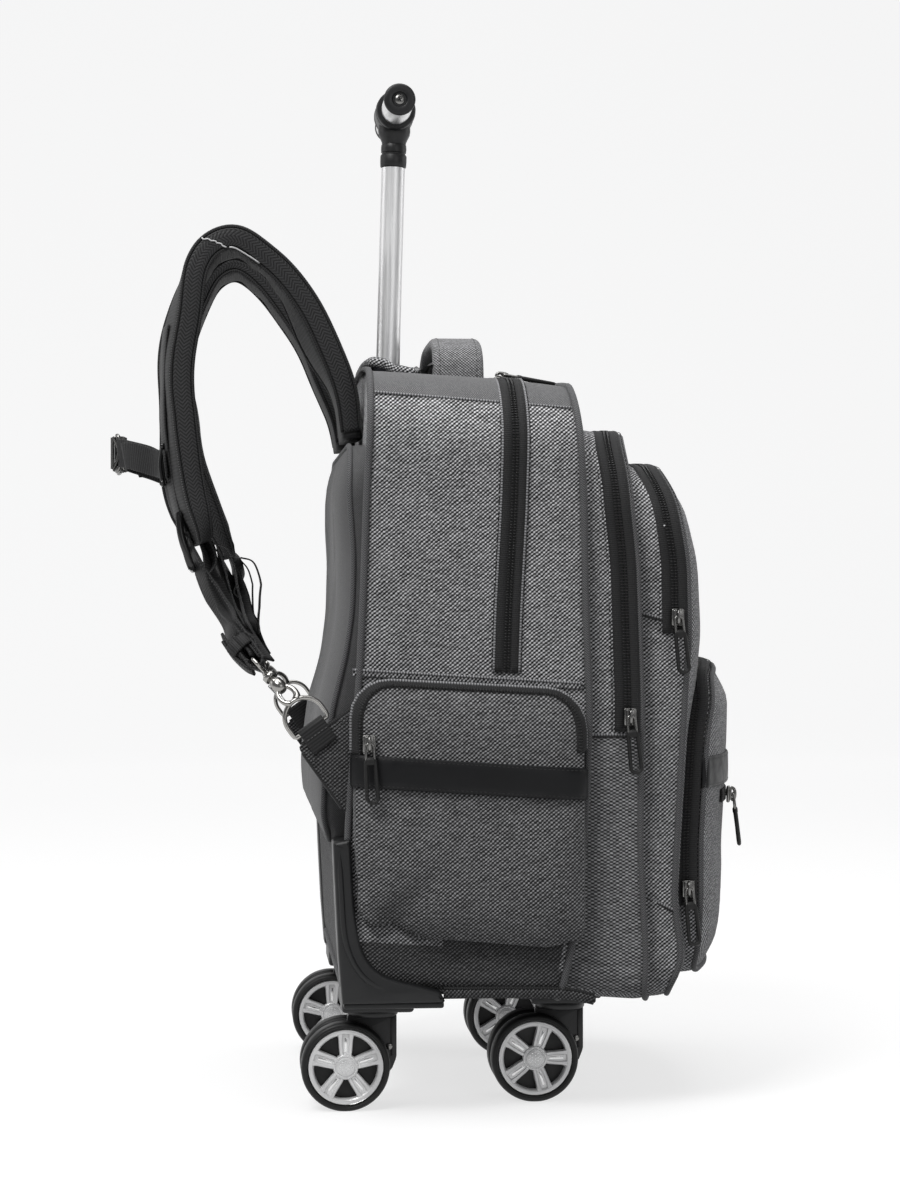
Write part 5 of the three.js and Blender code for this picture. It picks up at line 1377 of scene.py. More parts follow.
# Telescopic handle, in its leaning frame
LEAN = Matrix.Translation((0, POLE_BASE, GUIDE_TOP)) @ Matrix.Rotation(POLE_LEAN, 4, "X")
CROWN = LEAN @ Matrix.Translation((0, 0, POLE_RISE))
ALONG_X = Matrix.Rotation(math.pi / 2, 4, "Y")
pole = Shape()
pole.lathe([(7.0, -263), (8.5, -263), (8.5, 146.8), (8.2, 147), (7.0, 147), (7.0, -263)], SILVER, LEAN, 48)
put(pole, "pole_tube", "handle", (SILVER,), ("pole",), sharp=40)
guide = Shape()
bore, outer = 9.0, 11.0
guide.lathe([
    (bore, -400), (outer, -400), (outer, -6), (outer + 2.4, -5), (outer + 2.8, -1.4), (outer + 1.8, 0),
    (bore + 0.4, 0),
    (bore, -0.6), (bore, -400),
], PLASTIC, LEAN, 48)
put(guide, "guide_sleeve", "bag", (PLASTIC,), ("guide_tube",), sharp=40)

hub = Shape()
hub.lathe([
    (0, 0.2), (8.9, 0.2), (9.3, 0.8), (9.5, 4), (9.5, 8.2), (9.0, 9.2), (8.4, 9.6), (8.4, 10.4),
    (9.0, 10.9),
    (9.2, 13.5), (9.0, 16.2), (8.6, 16.8), (8.8, 18.2), (9.8, 20.5), (11.2, 23.5), (11.6, 26), (11.4, 34),
    (0, 34),
], PLASTIC, CROWN, 48)
lying = CROWN @ Matrix.Translation((0, 0, HUB_HEIGHT)) @ ALONG_X
hub.lathe([
    (10.7, -17), (13.0, -17), (13.7, -16.4), (14.0, -15.4), (14.0, 15.4), (13.7, 16.4), (13.0, 17),
    (10.7, 17),
    (10.7, -17),
], PLASTIC, lying, 56)
for side in (-1, 1):
    hub.lathe(
        [(13.6, side * 11 - 0.5), (14.25, side * 11), (13.6, side * 11 + 0.5), (13.6, side * 11 - 0.5)],
        PLASTIC, lying, 56
    )
button = CROWN @ Matrix.Translation((0, 0, HUB_HEIGHT + 13.2))
hub.block((9, 20, 2.2), PLASTIC, button @ Matrix.Rotation(math.pi / 2, 4, "Z"), 0.45, 3)
put(hub, "grip_crown", "handle", (PLASTIC,), ("grip_hub",), sharp=38)

grip = Shape()
grip.lathe([
    (8.5, -52), (10.2, -52), (10.5, -51.6), (10.5, 51.6), (10.2, 52), (8.5, 52), (8.5, -52),
], SILVER, lying, 56)
put(grip, "grip_bar", "handle", (SILVER,), ("grip_tube",), sharp=40)
for label, side in SIDES:
    cap = Shape()
    turn = CROWN @ Matrix.Translation((0, 0, HUB_HEIGHT)) @ Matrix.Rotation(side * math.pi / 2, 4, "Y")
    cap.lathe([
        (0, 44.5), (8.1, 44.5), (8.1, 52.3), (10.8, 52.3), (11.1, 52.7), (11.1, 54.3), (10.7, 54.9),
        (10.0, 55.3),
        (6.0, 55.3), (5.5, 55.1), (5.1, 54.4), (4.6, 53.9), (0, 53.9),
    ], PLASTIC, turn, 56)
    # A cross-head screw in the recess
    cap.lathe([(0, 53.6), (3.4, 53.6), (3.3, 54.3), (2.7, 54.75), (0, 54.9)], GUNMETAL, turn, 32)
    for angle in (0.5, 0.5 + math.pi / 2):
        cross = turn @ Matrix.Translation((0, 0, 54.9)) @ Matrix.Rotation(angle, 4, "Z")
        cap.block((3.6, 0.8, 0.5), PLASTIC, cross, 0.2, 1)
    put(
        cap, "end_cap_round_" + label, "handle", (PLASTIC, GUNMETAL),
        ("end_cap_" + label,), sharp=38
    )

# Carry slot: lining, rolled lips and the flap in front of the pole
slot = Shape()
SLOT_X, SLOT_REAR, SLOT_FRONT = 66.0, 63.0, 27.0


def top_at(y, x=0.0):
    fall = (y + 79 * 0.88) / (84 * 0.775 + 79 * 0.88)
    return mix(492, 502, fall) - 6 * (x / 106) ** 2


lips = []
for i in range(60):
    turn = 2 * math.pi * i / 60
    x = SLOT_X * math.copysign(abs(math.cos(turn)) ** 0.35, math.cos(turn))
    y = mix(SLOT_FRONT, SLOT_REAR, 0.5) + (SLOT_REAR - SLOT_FRONT) / 2 * math.copysign(
        abs(math.sin(turn)) ** 0.5, math.sin(turn))
    lips.append((x, y, top_at(y, x) + 3.0 + 1.2 * math.sin(3 * turn) + (3.0 if y > 50 else 0)))
slot.tube(lips, 3.4, CLOTH, 12, closed=True)
slot.tube([(x, y, z + 2.6) for x, y, z in lips], 1.2, PIPING, 8, closed=True)
put(slot, "slot_lips", "bag", (CLOTH, PIPING))
lining = Shape()
rows = []
for share, drop, inset in (
    (0, 3.5, 2.6), (0.2, -2, 3.2), (0.5, -14, 5.0), (0.8, -30, 6.5), (1.0, -44, 7.0)
):
    rows.append([
        (x * (1 - inset / SLOT_X), mix(SLOT_FRONT, SLOT_REAR, 0.5) + (y - 45) * (1 - inset / 20), z + drop)
        for x, y, z in lips
    ])
for share, drop, inset in ((1.0, -44, 7.6), (0.5, -14, 5.6), (0, 3.2, 3.4)):
    rows.append([
        (x * (1 - inset / SLOT_X), mix(SLOT_FRONT, SLOT_REAR, 0.5) + (y - 45) * (1 - inset / 20), z + drop)
        for x, y, z in lips
    ])
rows.append(rows[0])
lining.grid(np.array(rows), LINING, True, False)
put(lining, "slot_lining", "bag", (LINING,))
flap = Shape()
rows = []
for k in range(9):
    lift = k / 8
    rows.append([
        (x, 27 - 3.5 * lift - 11 * lift ** 2 + 1.2 * math.sin(x / 17),
        top_at(27, x) + 1 + 14.5 * lift - 5.5 * lift ** 2
         + 1.5 * lift * math.sin(x / 23 + 1))
        for x in np.linspace(-66, 66, 25)
    ])
under = [[(x, y + 1.6, z - 0.9) for x, y, z in row] for row in rows[::-1]]
# Painted shade: the flap gets the darker copy of the weave
flap.grid(np.array(rows + under + [rows[0]]), CLOTH_SHADED, False, False)
flap.tube([(x, y, z + 0.6) for x, y, z in rows[-1]], 1.5, PIPING, 8)
put(flap, "slot_flap", "bag", (CLOTH_SHADED, PIPING))


# Casters
def caster(label, x, y):
    side = 1 if x > 0 else -1
    # Fork with its flange, web, rounded cheeks and a rivet
    fork = Shape()
    seat = Matrix.Translation((x, y, 0))
    fork.lathe([
        (0, 61.7), (15.6, 61.7), (16.6, 62.2), (17.0, 63.2), (17.0, 65.6), (16.4, 66.5), (15.0, 66.7),
        (0, 66.7),
    ], PLASTIC, seat, 40)
    outline = [
        (-15.4, 31.5), (-16, 34), (-16, 61.2), (-15, 62.4), (16.2, 62.4), (17.2, 61), (18.6, 46),
        (20.6, 40.6)
    ]
    outline += [
        (CASTER_TRAIL + 9 * math.cos(a), HUB_LEVEL + 9 * math.sin(a))
        for a in np.linspace(math.pi * 0.36, -math.pi * 0.72, 14)
    ]
    outline += [(4, 22.6), (-6, 22.0), (-10.4, 22.4), (-13.2, 26)]
    hole = [
        (CASTER_TRAIL + 4.2 * math.cos(a), HUB_LEVEL + 4.2 * math.sin(a))
        for a in np.linspace(0, 2 * math.pi, 21)[:-1]
    ]
    turn = Matrix(((0, 0, 1, x - 3), (1, 0, 0, y), (0, 1, 0, 0), (0, 0, 0, 1)))
    fork.plate(outline, [hole], 6.0, PLASTIC, turn, 0.7)
    for cheek in (-1, 1):
        rib = turn @ Matrix.Translation((0, 0, 3 + cheek * 2.9))
        fork.block((3.2, 26, 1.6), PLASTIC, rib @ Matrix.Translation((-13.6, 47, 0)), 0.3, 2)
        fork.lathe([(0, 0.2), (2.2, 0.2), (2.0, 1.2), (1.2, 1.6), (0, 1.7)], GUNMETAL,
                   rib @ Matrix.Translation((-11.0, 40.5, 0)) @ Matrix.Rotation(0 if cheek > 0 else math.pi,
                   4, "X"), 16)
    put(
        fork, "caster_fork_" + label, "fork_" + label, (PLASTIC, GUNMETAL),
        ("fork_" + label,), sharp=38
    )

    body = "wheels_" + label
    for which, face in (("outer", side), ("inner", -side)):
        hub_turn = Matrix.Translation(
            (x, y + CASTER_TRAIL, HUB_LEVEL)
        ) @ Matrix.Rotation(face * math.pi / 2, 4, "Y")
        r = WHEEL_RADIUS - 0.1
        tyre = Shape()
        tyre.lathe([
            (4.6, 4.3), (26.8, 4.3), (28.6, 4.7), (29.4, 5.5), (r - 0.2, 7.0), (r, 9.0), (r, 14.2),
            (r - 0.2, 16.4),
            (29.2, 17.9), (28.4, 18.7), (27.0, 19.0), (25.9, 18.8), (25.5, 18.0), (25.5, 11.2), (4.6, 11.2),
            (4.6, 4.3),
        ], RUBBER, hub_turn, 96)
        tyre.lathe([(26.4, 18.7), (26.9, 19.25), (27.4, 18.7), (26.4, 18.7)], RUBBER, hub_turn, 96)
        put(
            tyre, f"tyre_round_{which}_{label}", body, (RUBBER,), (f"tyre_{which}_{label}",),
            sharp=35
        )
    wheels = Shape()
    for face in (side, -side):
        hub_turn = Matrix.Translation(
            (x, y + CASTER_TRAIL, HUB_LEVEL)
        ) @ Matrix.Rotation(face * math.pi / 2, 4, "Y")
        # Rim ring
        wheels.lathe([
            (21.4, 11.6), (25.2, 11.6), (25.3, 17.6), (24.9, 18.2), (24.2, 18.45), (22.4, 18.2),
            (21.6, 17.4),
            (21.1, 14.0), (21.4, 11.6),
        ], RIM, hub_turn, 96)
        wheels.lathe(
            [(24.6, 18.2), (24.95, 18.55), (25.25, 18.1), (25.2, 17.2), (24.7, 17.2), (24.6, 18.2)], CHROME,
            hub_turn, 96
        )
        # Hub and its dotted cap
        wheels.lathe([
            (0, 11.0), (8.3, 11.0), (8.6, 16.0), (8.2, 17.4), (7.4, 17.9), (7.0, 17.9), (6.7, 17.5),
            (6.3, 17.5),
            (6.0, 18.1), (5.4, 18.4), (0, 18.55),
        ], RIM, hub_turn, 48)
        for radius, count in ((2.2, 6), (4.1, 12), (0.0, 1)):
            for k in range(count):
                a = 2 * math.pi * k / count
                dot = hub_turn @ Matrix.Translation((radius * math.cos(a), radius * math.sin(a), 18.45))
                wheels.lathe([(0, -0.1), (0.45, -0.1), (0.35, 0.18), (0, 0.25)], CHROME, dot, 8)
        for k in range(12):
            a = 2 * math.pi * (k + 0.5) / 12
            dot = hub_turn @ Matrix.Translation((7.5 * math.cos(a), 7.5 * math.sin(a), 17.85))
            wheels.lathe([(0, -0.1), (0.4, -0.1), (0.3, 0.15), (0, 0.2)], CHROME, dot, 8)
        # Five double spokes, each with a sunk slot between its two bars
        for k in range(5):
            a = 2 * math.pi * k / 5 + (-math.pi / 2 if y < 0 else (0 if face < 0 else math.pi))
            spoke = hub_turn @ Matrix.Rotation(a, 4, "Z")
            for bar in (-1, 1):
                rows = []
                for d, half, mid, top in (
                    (6.0, 1.5, 2.1, 16.9), (9.5, 1.35, 2.9, 17.1), (14.0, 1.3, 3.3, 17.3),
                    (18.5, 1.35, 3.6, 17.6),
                    (20.5, 1.7, 3.7, 17.9), (23.4, 2.3, 4.0, 18.1),
                ):
                    ring = []
                    for u, v in (
                        (-half, 12.2), (half, 12.2), (half, top - 0.7), (half - 0.5, top),
                        (-half + 0.5, top), (-half, top - 0.7),
                    ):
                        ring.append(tuple(spoke @ Vector((d, bar * mid + u, v))))
                    rows.append(ring)
                wheels.grid(np.array(rows), RIM)
            rows = []
            for d, half in ((6.0, 2.2), (12, 3.0), (17, 3.3), (21.5, 3.5), (22.6, 3.6)):
                rows.append([
                    tuple(spoke @ Vector((d, u, v))) for u,
                    v in ((-half, 12.4), (half, 12.4), (half, 16.3), (-half, 16.3))
                ])
            wheels.grid(np.array(rows), RIM)
            slot = spoke @ Matrix.Translation((14.6, 0, 16.35))
            wheels.block((9.6, 1.6, 0.5), CHROME, slot, 0.35, 2)
    wheels.lathe([(0, -11.4), (3.9, -11.4), (3.9, 11.4), (0, 11.4)], GUNMETAL,
                 Matrix.Translation((x, y + CASTER_TRAIL, HUB_LEVEL)) @ Matrix.Rotation(math.pi / 2, 4,
                 "Y"), 24)
    put(
        wheels, "wheel_rims_" + label, body, (RIM, CHROME, GUNMETAL), ("rims_" + label,),
        sharp=35
    )


for label, (x, y) in CASTERS.items():
    caster(label, x, y)


def flipped(shape, side):
    """The same shape on the bag's other side"""
    shape.points = [(point[0] * side, point[1], point[2]) for point in shape.points]
    return shape


def frame_of(x_axis, y_axis, z_axis, spot):
    """A matrix from three axes and a place"""
    columns = [Vector(x_axis), Vector(y_axis), Vector(z_axis), Vector(spot)]
    return Matrix([[columns[c][r] for c in range(4)] for r in range(3)] + [[0, 0, 0, 1]])


# Shoulder straps
STRAP_ROWS = (
    (-0.005, 0.0, 0.8), (0.04, 0.22, 0.95), (0.15, 0.45, 1.0), (0.285, 0.67, 1.0), (0.44, 0.87, 1.0),
    (0.635, 0.985, 1.0), (0.8, 0.93, 1.0), (0.91, 0.76, 1.0), (0.975, 0.53, 1.0), (0.99, 0.27, 1.0),
    (0.983, 0.0, 1.0), (0.93, -0.3, 0.95), (0.86, -0.52, 0.8),
)
strap_knots = [
    (58 + 18 * i / 12, STRAP_ROOT[0] + STRAP_REACH * reach, STRAP_ROOT[1] + STRAP_RISE * rise) for i,
    (reach, rise, thick) in enumerate(STRAP_ROWS)
]
strap_path = spline(strap_knots, 2.5)
strap_along = np.gradient(strap_path, axis=0)
strap_along[:, 0] = 0
strap_along /= np.linalg.norm(strap_along, axis=1, keepdims=True)
strap_out = np.stack([np.zeros(len(strap_path)), -strap_along[:, 2], strap_along[:, 1]], axis=1)
strap_share = np.linspace(0, 1, len(strap_path))
strap_deep = STRAP_DEPTH * np.interp(strap_share * 12, range(13), [row[2] for row in STRAP_ROWS])


def draped(shape):
    """The far strap hangs a little further forward and lower than the near one"""
    points = np.array([tuple(point) for point in shape.points], float)
    x, y, z = points[:, 0], points[:, 1], points[:, 2]
    share = np.clip((500 - z) / 110, 0, 1) * np.clip((z - 285) / 75, 0, 1) * np.clip(x / 50, 0, 1)
    share *= np.clip((y - 110) / 40, 0, 1)
    points[:, 1] -= 20 * share
    points[:, 2] -= 7 * share
    shape.points = list(points)
    return shape


def strap_axes(i, side):
    """The strap's own axes at one of its points, with the near strap turned a little toward the front"""
    share = strap_share[i]
    turn = 0.24 * np.clip(
        (share - 0.52) / 0.25, 0, 1
    ) + 0.05 * math.sin(share * 23) - 0.05 * math.sin(share * 9)
    wide = np.array([math.cos(turn), 0, 0]) + strap_out[i] * math.sin(turn)
    out = strap_out[i] * math.cos(turn) - np.array([math.sin(turn), 0, 0])
    if side > 0:
        wide, out = np.array([1.0, 0, 0]), strap_out[i]
    return wide, out


for label, side in SIDES:
    shape = Shape()
    rows, edges = [], {-1: [], 1: []}
    count = len(strap_path)
    for i in range(count):
        wide, out = strap_axes(i, side)
        if side < 0:
            wide, out = wide * np.array([-1, 1, 1]) * -1, out * np.array([-1, 1, 1])
        tip = min(1.0, (count - 1 - i) / 9)
        narrow = math.sqrt(max(0.0, 1 - (1 - tip) ** 2)) * 0.55 + 0.45
        spot = strap_path[i] + strap_out[i] * 0.9 * math.sin(strap_share[i] * 31 + side)
        ring = []
        for k in range(44):
            turn = 2 * math.pi * k / 44
            c, sine = math.cos(turn), math.sin(turn)
            x = STRAP_HALF * narrow * math.copysign(abs(c) ** 0.30, c)
            n = (strap_deep[i] + 1.1 * (1 - abs(c) ** 3)) * math.copysign(abs(sine) ** 0.55, sine)
            n += 0.7 * float(
                cloudiness(spot + np.array([x, 0, 0]), 20.0, 3 + side)
            ) * (1 if sine < 0 else 0.6)
            # Soft cross folds inside the tight bend
            if sine < 0:
                n += 0.6 * math.sin(i * 0.62 + 0.5 * math.sin(x / 9)) * math.exp(
                    -((strap_share[i] - 0.42) / 0.12) ** 2
                )
            ring.append(spot + wide * x + out * n * (0.7 + 0.3 * tip))
        rows.append(ring)
        for edge in (-1, 1):
            edges[edge].append(
                (spot + wide * edge * (STRAP_HALF * narrow), wide * edge, out,
                strap_deep[i] * (0.7 + 0.3 * tip))
            )
    shape.grid(np.array(rows), MESH)
    for edge in (-1, 1):
        lane = np.array([e[0] for e in edges[edge]])[2:]
        away = np.array([e[1] for e in edges[edge]])[2:]
        out = np.array([e[2] for e in edges[edge]])[2:]
        deep = np.array([e[3] for e in edges[edge]])[2:]
        shape.strip(lane, out, deep * 1.62, 2.0, EDGE_TAPE, 0.9, 5)
        for level in (-0.98, 0.98):
            cord = lane + out * (deep * level)[:, None] - away * 0.9
            shape.tube(cord, 1.35, PIPING_DARK, 8)
            shape.beads(
                cord, away + out * level, 1.7, 1.0, 0.9, 0.35, THREAD if level > 0 else THREAD_DARK, 1.2
            )
    # A light cord in the seam at the top of the arch
    mark = int(count * 0.47)
    near = edges[1]
    cord = []
    for k in range(9):
        spot, away, out, deep = near[mark - k // 2]
        cord.append(spot + away * 1.3 + out * deep * mix(1.0, -0.9, k / 8))
    shape.tube(spline(cord, 1.5), 0.55, CORD_LIGHT, 6)
    cord = []
    for k in range(0, 14):
        spot, away, out, deep = near[mark - 5 - k]
        cord.append(spot + away * 1.2 - out * (deep * 0.95 + 0.6 * math.sin(k / 3)))
    shape.tube(cord, 0.6, CORD_LIGHT, 6)
    # Webbing sewn down the outer face, which the chest strap and the lock hang on
    first = int(count * 0.62)
    lane = [strap_path[i] + strap_out[i] * (strap_deep[i] + 1.9) for i in range(first, count - 3)]
    shape.strip(
        lane, [edges[1][i][1] for i in range(first, count - 3)], WEBBING_WIDTH, 1.6, WEBBING, 0.9, 5
    )
    flipped(shape, side)
    if side > 0:
        draped(shape)
    put(shape, "shoulder_strap_" + label, "bag",
        (MESH, EDGE_TAPE, PIPING_DARK, THREAD, THREAD_DARK, CORD_LIGHT, WEBBING),
        ("shoulder_pad_" + label,))

# Ladder locks, bowed outward
end_along = np.array(strap_knots[-1]) - np.array(strap_knots[-2])
end_along[0] = 0
end_along /= np.linalg.norm(end_along)
end_out = np.array([0, -end_along[2], end_along[1]])
lock_spot = np.array(strap_knots[-1]) - end_along * 4 + end_out * 9.7
for label, side in SIDES:
    shape = Shape()

    def in_lock(x, up, out):
        return lock_spot + np.array([x, 0, 0]) - end_along * up + end_out * out

    def bow(up):
        return 2.6 * (1 - (up / 19) ** 2) + 1.6 * max(0, -up - 8) / 11 - 1.6

    for edge in (-1, 1):
        rows = []
        for up in np.linspace(19.5, -19.5, 24):
            wide = 2.2 + 0.5 * math.cos(up / 6)
            inset = 1.6 * (abs(up) / 19.5) ** 4
            ring = []
            for k in range(10):
                turn = 2 * math.pi * k / 10
                ring.append(
                    in_lock(edge * (12.6 - inset) + wide * math.cos(turn), up,
                    bow(up) + 2.7 * math.sin(turn))
                )
            rows.append(ring)
        shape.grid(np.array(rows), GLOSSY)
    for up, deep, high in ((17.8, 1.8, 2.6), (3.2, 1.5, 2.4), (-6.0, 1.5, 2.2), (-17.4, 2.0, 3.4)):
        rows = []
        for x in np.linspace(-13, 13, 13):
            ring = []
            for k in range(10):
                turn = 2 * math.pi * k / 10
                lip = 1.6 * (1 - (x / 13) ** 2) if up < -10 else 0
                ring.append(in_lock(x, up - lip + high * math.cos(turn), bow(up) + deep * math.sin(turn)))
            rows.append(ring)
        shape.grid(np.array(rows), GLOSSY)
    flipped(shape, side)
    if side > 0:
        draped(shape)
    put(
        shape, "strap_lock_" + label, "bag", (GLOSSY,), ("ladder_lock_" + label,), sharp=60
    )

# Snap hook frame: hook loop at its origin, eye along its Z
edge_along = np.array([0, 37.1, -26.7]) / math.hypot(37.1, 26.7)
edge_out = np.array([0, 26.7, 37.1]) / math.hypot(37.1, 26.7)
bar_centre = np.array([158.5, 113.1, 246.0]) - edge_along * 14 + edge_out * 5
hook_axis = np.array([-20, 23.5, 24.5]) / math.sqrt(20 ** 2 + 23.5 ** 2 + 24.5 ** 2)
hook_across = unit(np.array([1.0, 0, 0]) - hook_axis * hook_axis[0])
hook_out = np.cross(hook_axis, hook_across)
hook_spot = bar_centre + edge_out * 21 + hook_axis * 1.3
HOOK = frame_of(hook_across, hook_out, hook_axis, hook_spot)


def in_hook(x, n, level):
    return hook_spot + hook_across * x + hook_out * n + hook_axis * level


for label, side in SIDES:
    shape = Shape()
    shape.tube([
        in_hook(1.4 * math.sin(a), 5.4 * math.sin(a), 5.0 - 7.4 * math.cos(a))
        for a in np.linspace(0.5, 2 * math.pi - 0.45, 34)
    ], np.interp(np.linspace(0, 1, 34), [0, 0.15, 0.5, 0.85, 1], [2.2, 1.7, 1.5, 2.1, 3.0]), NICKEL, 12)
    # Gate, body with its thumb slide, collar and swivel barrel
    shape.tube(
        [in_hook(1.0, 4.4, 2.2), in_hook(0.8, 4.2, 6.5), in_hook(0.4, 2.6, 11.0)], 1.3, CHROME_DARK, 10
    )
    shape.lathe([
        (0, 8.8), (2.8, 9.2), (4.4, 11.2), (5.0, 14.0), (4.7, 17.6), (3.6, 20.0), (2.9, 21.2), (4.6, 21.5),
        (5.0, 22.2),
        (5.0, 24.8), (4.5, 25.5), (2.8, 25.8), (2.4, 27.2), (3.0, 27.9), (0, 28.4),
    ], NICKEL, HOOK, 10)
    slide = HOOK @ Matrix.Translation((0, 4.6, 15.0))
    shape.block((3.0, 1.8, 8.6), CHROME_DARK, slide, 0.4, 3)
    shape.lathe([(0, 0), (1.2, 0), (1.35, 0.5), (1.0, 1.4), (0, 1.6)], NICKEL,
                HOOK @ Matrix.Translation((3.6, 0, 17.5)) @ Matrix.Rotation(math.pi / 2, 4, "Y"), 14)
    # Eye for the webbing
    eye_path = []
    for k in range(48):
        a = 2 * math.pi * k / 48
        c, s = math.cos(a), math.sin(a)
        eye_path.append(
            in_hook(11.7 * math.copysign(abs(c) ** 0.45, c), 0,
            33.0 + 4.3 * math.copysign(abs(s) ** 0.45, s))
        )
    shape.tube(eye_path, 1.35, NICKEL, 10, closed=True)
    flipped(shape, side)
    put(
        shape, "snap_hook_cast_" + label, "bag", (NICKEL, CHROME_DARK), ("snap_hook_" + label,),
        sharp=50
    )

    ring = Shape()
    loop = [(-12, 0), (-6, 0), (0, 0), (6, 0), (12, 0), (13.0, 1.2), (13.3, 3.5)]
    loop += [(13.3 * math.cos(a), 7.6 + 13.3 * math.sin(a)) for a in np.linspace(0, math.pi, 26)]
    loop += [(-13.3, 3.5), (-13.0, 1.2)]
    ring.tube([bar_centre + edge_along * u + edge_out * v for u, v in loop], 1.6, NICKEL, 12, closed=True)
    flipped(ring, side)
    put(ring, "d_ring_round_" + label, "bag", (NICKEL,), ("d_ring_" + label,), sharp=60)

# Strap webbing from the lock to the hook, with its folded tail and keeper
BAR_LEVEL = 36.05
lead = lock_spot - end_out * 3.6 + end_along * 10
turn_radius = 3.35
webbing_path = [
    lead - end_along * 16, lead, lead + np.array([9, -8, -19]), lead + np.array([22, -22, -41]),
    in_hook(0, -4, BAR_LEVEL + 32), in_hook(0, -turn_radius, BAR_LEVEL + 12),
]
webbing_path += [
    in_hook(0, -turn_radius * math.cos(a), BAR_LEVEL - turn_radius * math.sin(a)) for a in np.linspace(0,
    math.pi, 7)
]
webbing_path += [in_hook(0, turn_radius, BAR_LEVEL + 12), in_hook(0, turn_radius, BAR_LEVEL + 24)]
webbing_path = spline(webbing_path, 2.0)


def lanes(path, loose_until=24.0, twist=0.0, back=0.0):
    """Across directions that turn from the bag's own to the hook's, with a twist in the middle"""
    run = np.concatenate([[0.0], np.cumsum(np.linalg.norm(np.diff(path, axis=0), axis=1))])
    share = np.clip(run / loose_until, 0, 1)[:, None]
    across = np.array([1.0, 0, 0]) * (1 - share) + hook_across * share
    normal = np.cross(np.gradient(path, axis=0), across)
    normal /= np.maximum(np.linalg.norm(normal, axis=1, keepdims=True), 1e-9)
    part = run / run[-1]
    turn = twist * np.minimum(
        np.clip(part / 0.3, 0, 1), 1 - (1 - back) * np.clip((part - 0.62) / 0.3, 0, 1)
    )[:, None]
    return across * np.cos(turn) + normal * np.sin(turn)


for label, side in SIDES:
    shape = Shape()
    shape.strip(webbing_path, lanes(webbing_path, 70, 0.75), WEBBING_WIDTH, 1.8, WEBBING, 0.9, 5)
    # The return strand on the body side of the first
    top = lead + end_out * 1.5 - end_along * 6
    back = spline([
        top + np.array([1, -7, 4]), top + np.array([4, -12, -6]), top + np.array([9, -16, -20]),
        top + np.array([19, -26, -42]), in_hook(0, -9.5, BAR_LEVEL + 30), in_hook(0, -7.5, BAR_LEVEL + 10),
        in_hook(0, -6.6, BAR_LEVEL - 1),
    ], 2.0)
    shape.strip(back, lanes(back, 70, -0.5, 0.6), 18.5, 1.6, WEBBING, 0.9, 5)
    # Teardrop and thin loops of the folded tail
    drop = spline([
        top + np.array([2, -4, 2]), top + np.array([2, -9, 5]), top + np.array([3, -14, -2]),
        top + np.array([5, -16, -12]), top + np.array([8, -13, -22]), top + np.array([10, -15, -26]),
    ], 1.5)
    shape.strip(drop, lanes(drop, 200, 0.35), 17, 1.5, WEBBING, 0.9, 5)
    thin = spline([
        top + np.array([8, -16, 2]), top + np.array([8, -25, -1]), top + np.array([11, -30, -12]),
        top + np.array([15, -33, -28]), top + np.array([21, -37, -44]), in_hook(0, -12, BAR_LEVEL + 24),
    ], 1.5)
    shape.strip(thin, lanes(thin, 200), 12, 1.1, WEBBING, 0.9, 5)
    thin = spline([
        top + np.array([6, -16, 0]), top + np.array([9, -22, -8]), top + np.array([14, -27, -26]),
        top + np.array([20, -32, -42]), in_hook(0, -11, BAR_LEVEL + 26),
    ], 1.5)
    shape.strip(thin, lanes(thin, 200), 9, 1.0, PIPING_DARK, 0.9, 5)
    for edge in (-8.6, 8.6):
        path = webbing_path[10:-12]
        lane = lanes(webbing_path, 70, 0.75)[10:-12]
        normal = np.cross(np.gradient(path, axis=0), lane)
        for face in (-1, 1):
            shape.beads(path + lane * edge, normal * face, 2.9, 2.0, 0.45, 0.3, THREAD, 0.85)
    # Folded bundle over the keeper
    for k, (low, high, out, wide) in enumerate((
        (2, 27, 4.2, 19), (5, 32, 6.4, 18.5), (7, 25, -4.6, 19), (10, 22, -6.4, 18),
    )):
        path = spline([
            in_hook(0, out * 0.7, BAR_LEVEL + low - 3), in_hook(0, out, BAR_LEVEL + low + 3),
            in_hook(0.4 * k, out + 0.5, BAR_LEVEL + mix(low, high, 0.6)),
            in_hook(0, out * 0.8, BAR_LEVEL + high),
        ], 2.0)
        tilt = math.radians((22, -14, 18, -24)[k])
        lane = hook_across * math.cos(tilt) + hook_out * math.sin(tilt)
        shape.strip(path, np.repeat([lane], len(path), axis=0), wide, 2.2, WEBBING, 0.9, 5)
    wrap = []
    for k in range(36):
        a = 2 * math.pi * k / 36
        c, s = math.cos(a), math.sin(a)
        wrap.append(
            in_hook(11.0 * math.copysign(abs(c) ** 0.5, c), 8.4 * math.copysign(abs(s) ** 0.6, s),
            BAR_LEVEL + 16.5)
        )
    shape.strip(wrap + [wrap[0]], np.repeat([hook_axis], 37, axis=0), 9.5, 1.5, PIPING_DARK, 0.9, 5)
    flipped(shape, side)
    if side > 0:
        draped(shape)
    put(
        shape, "webbing_folded_" + label, "bag", (WEBBING, PIPING_DARK, THREAD),
        ("strap_webbing_" + label,)
    )

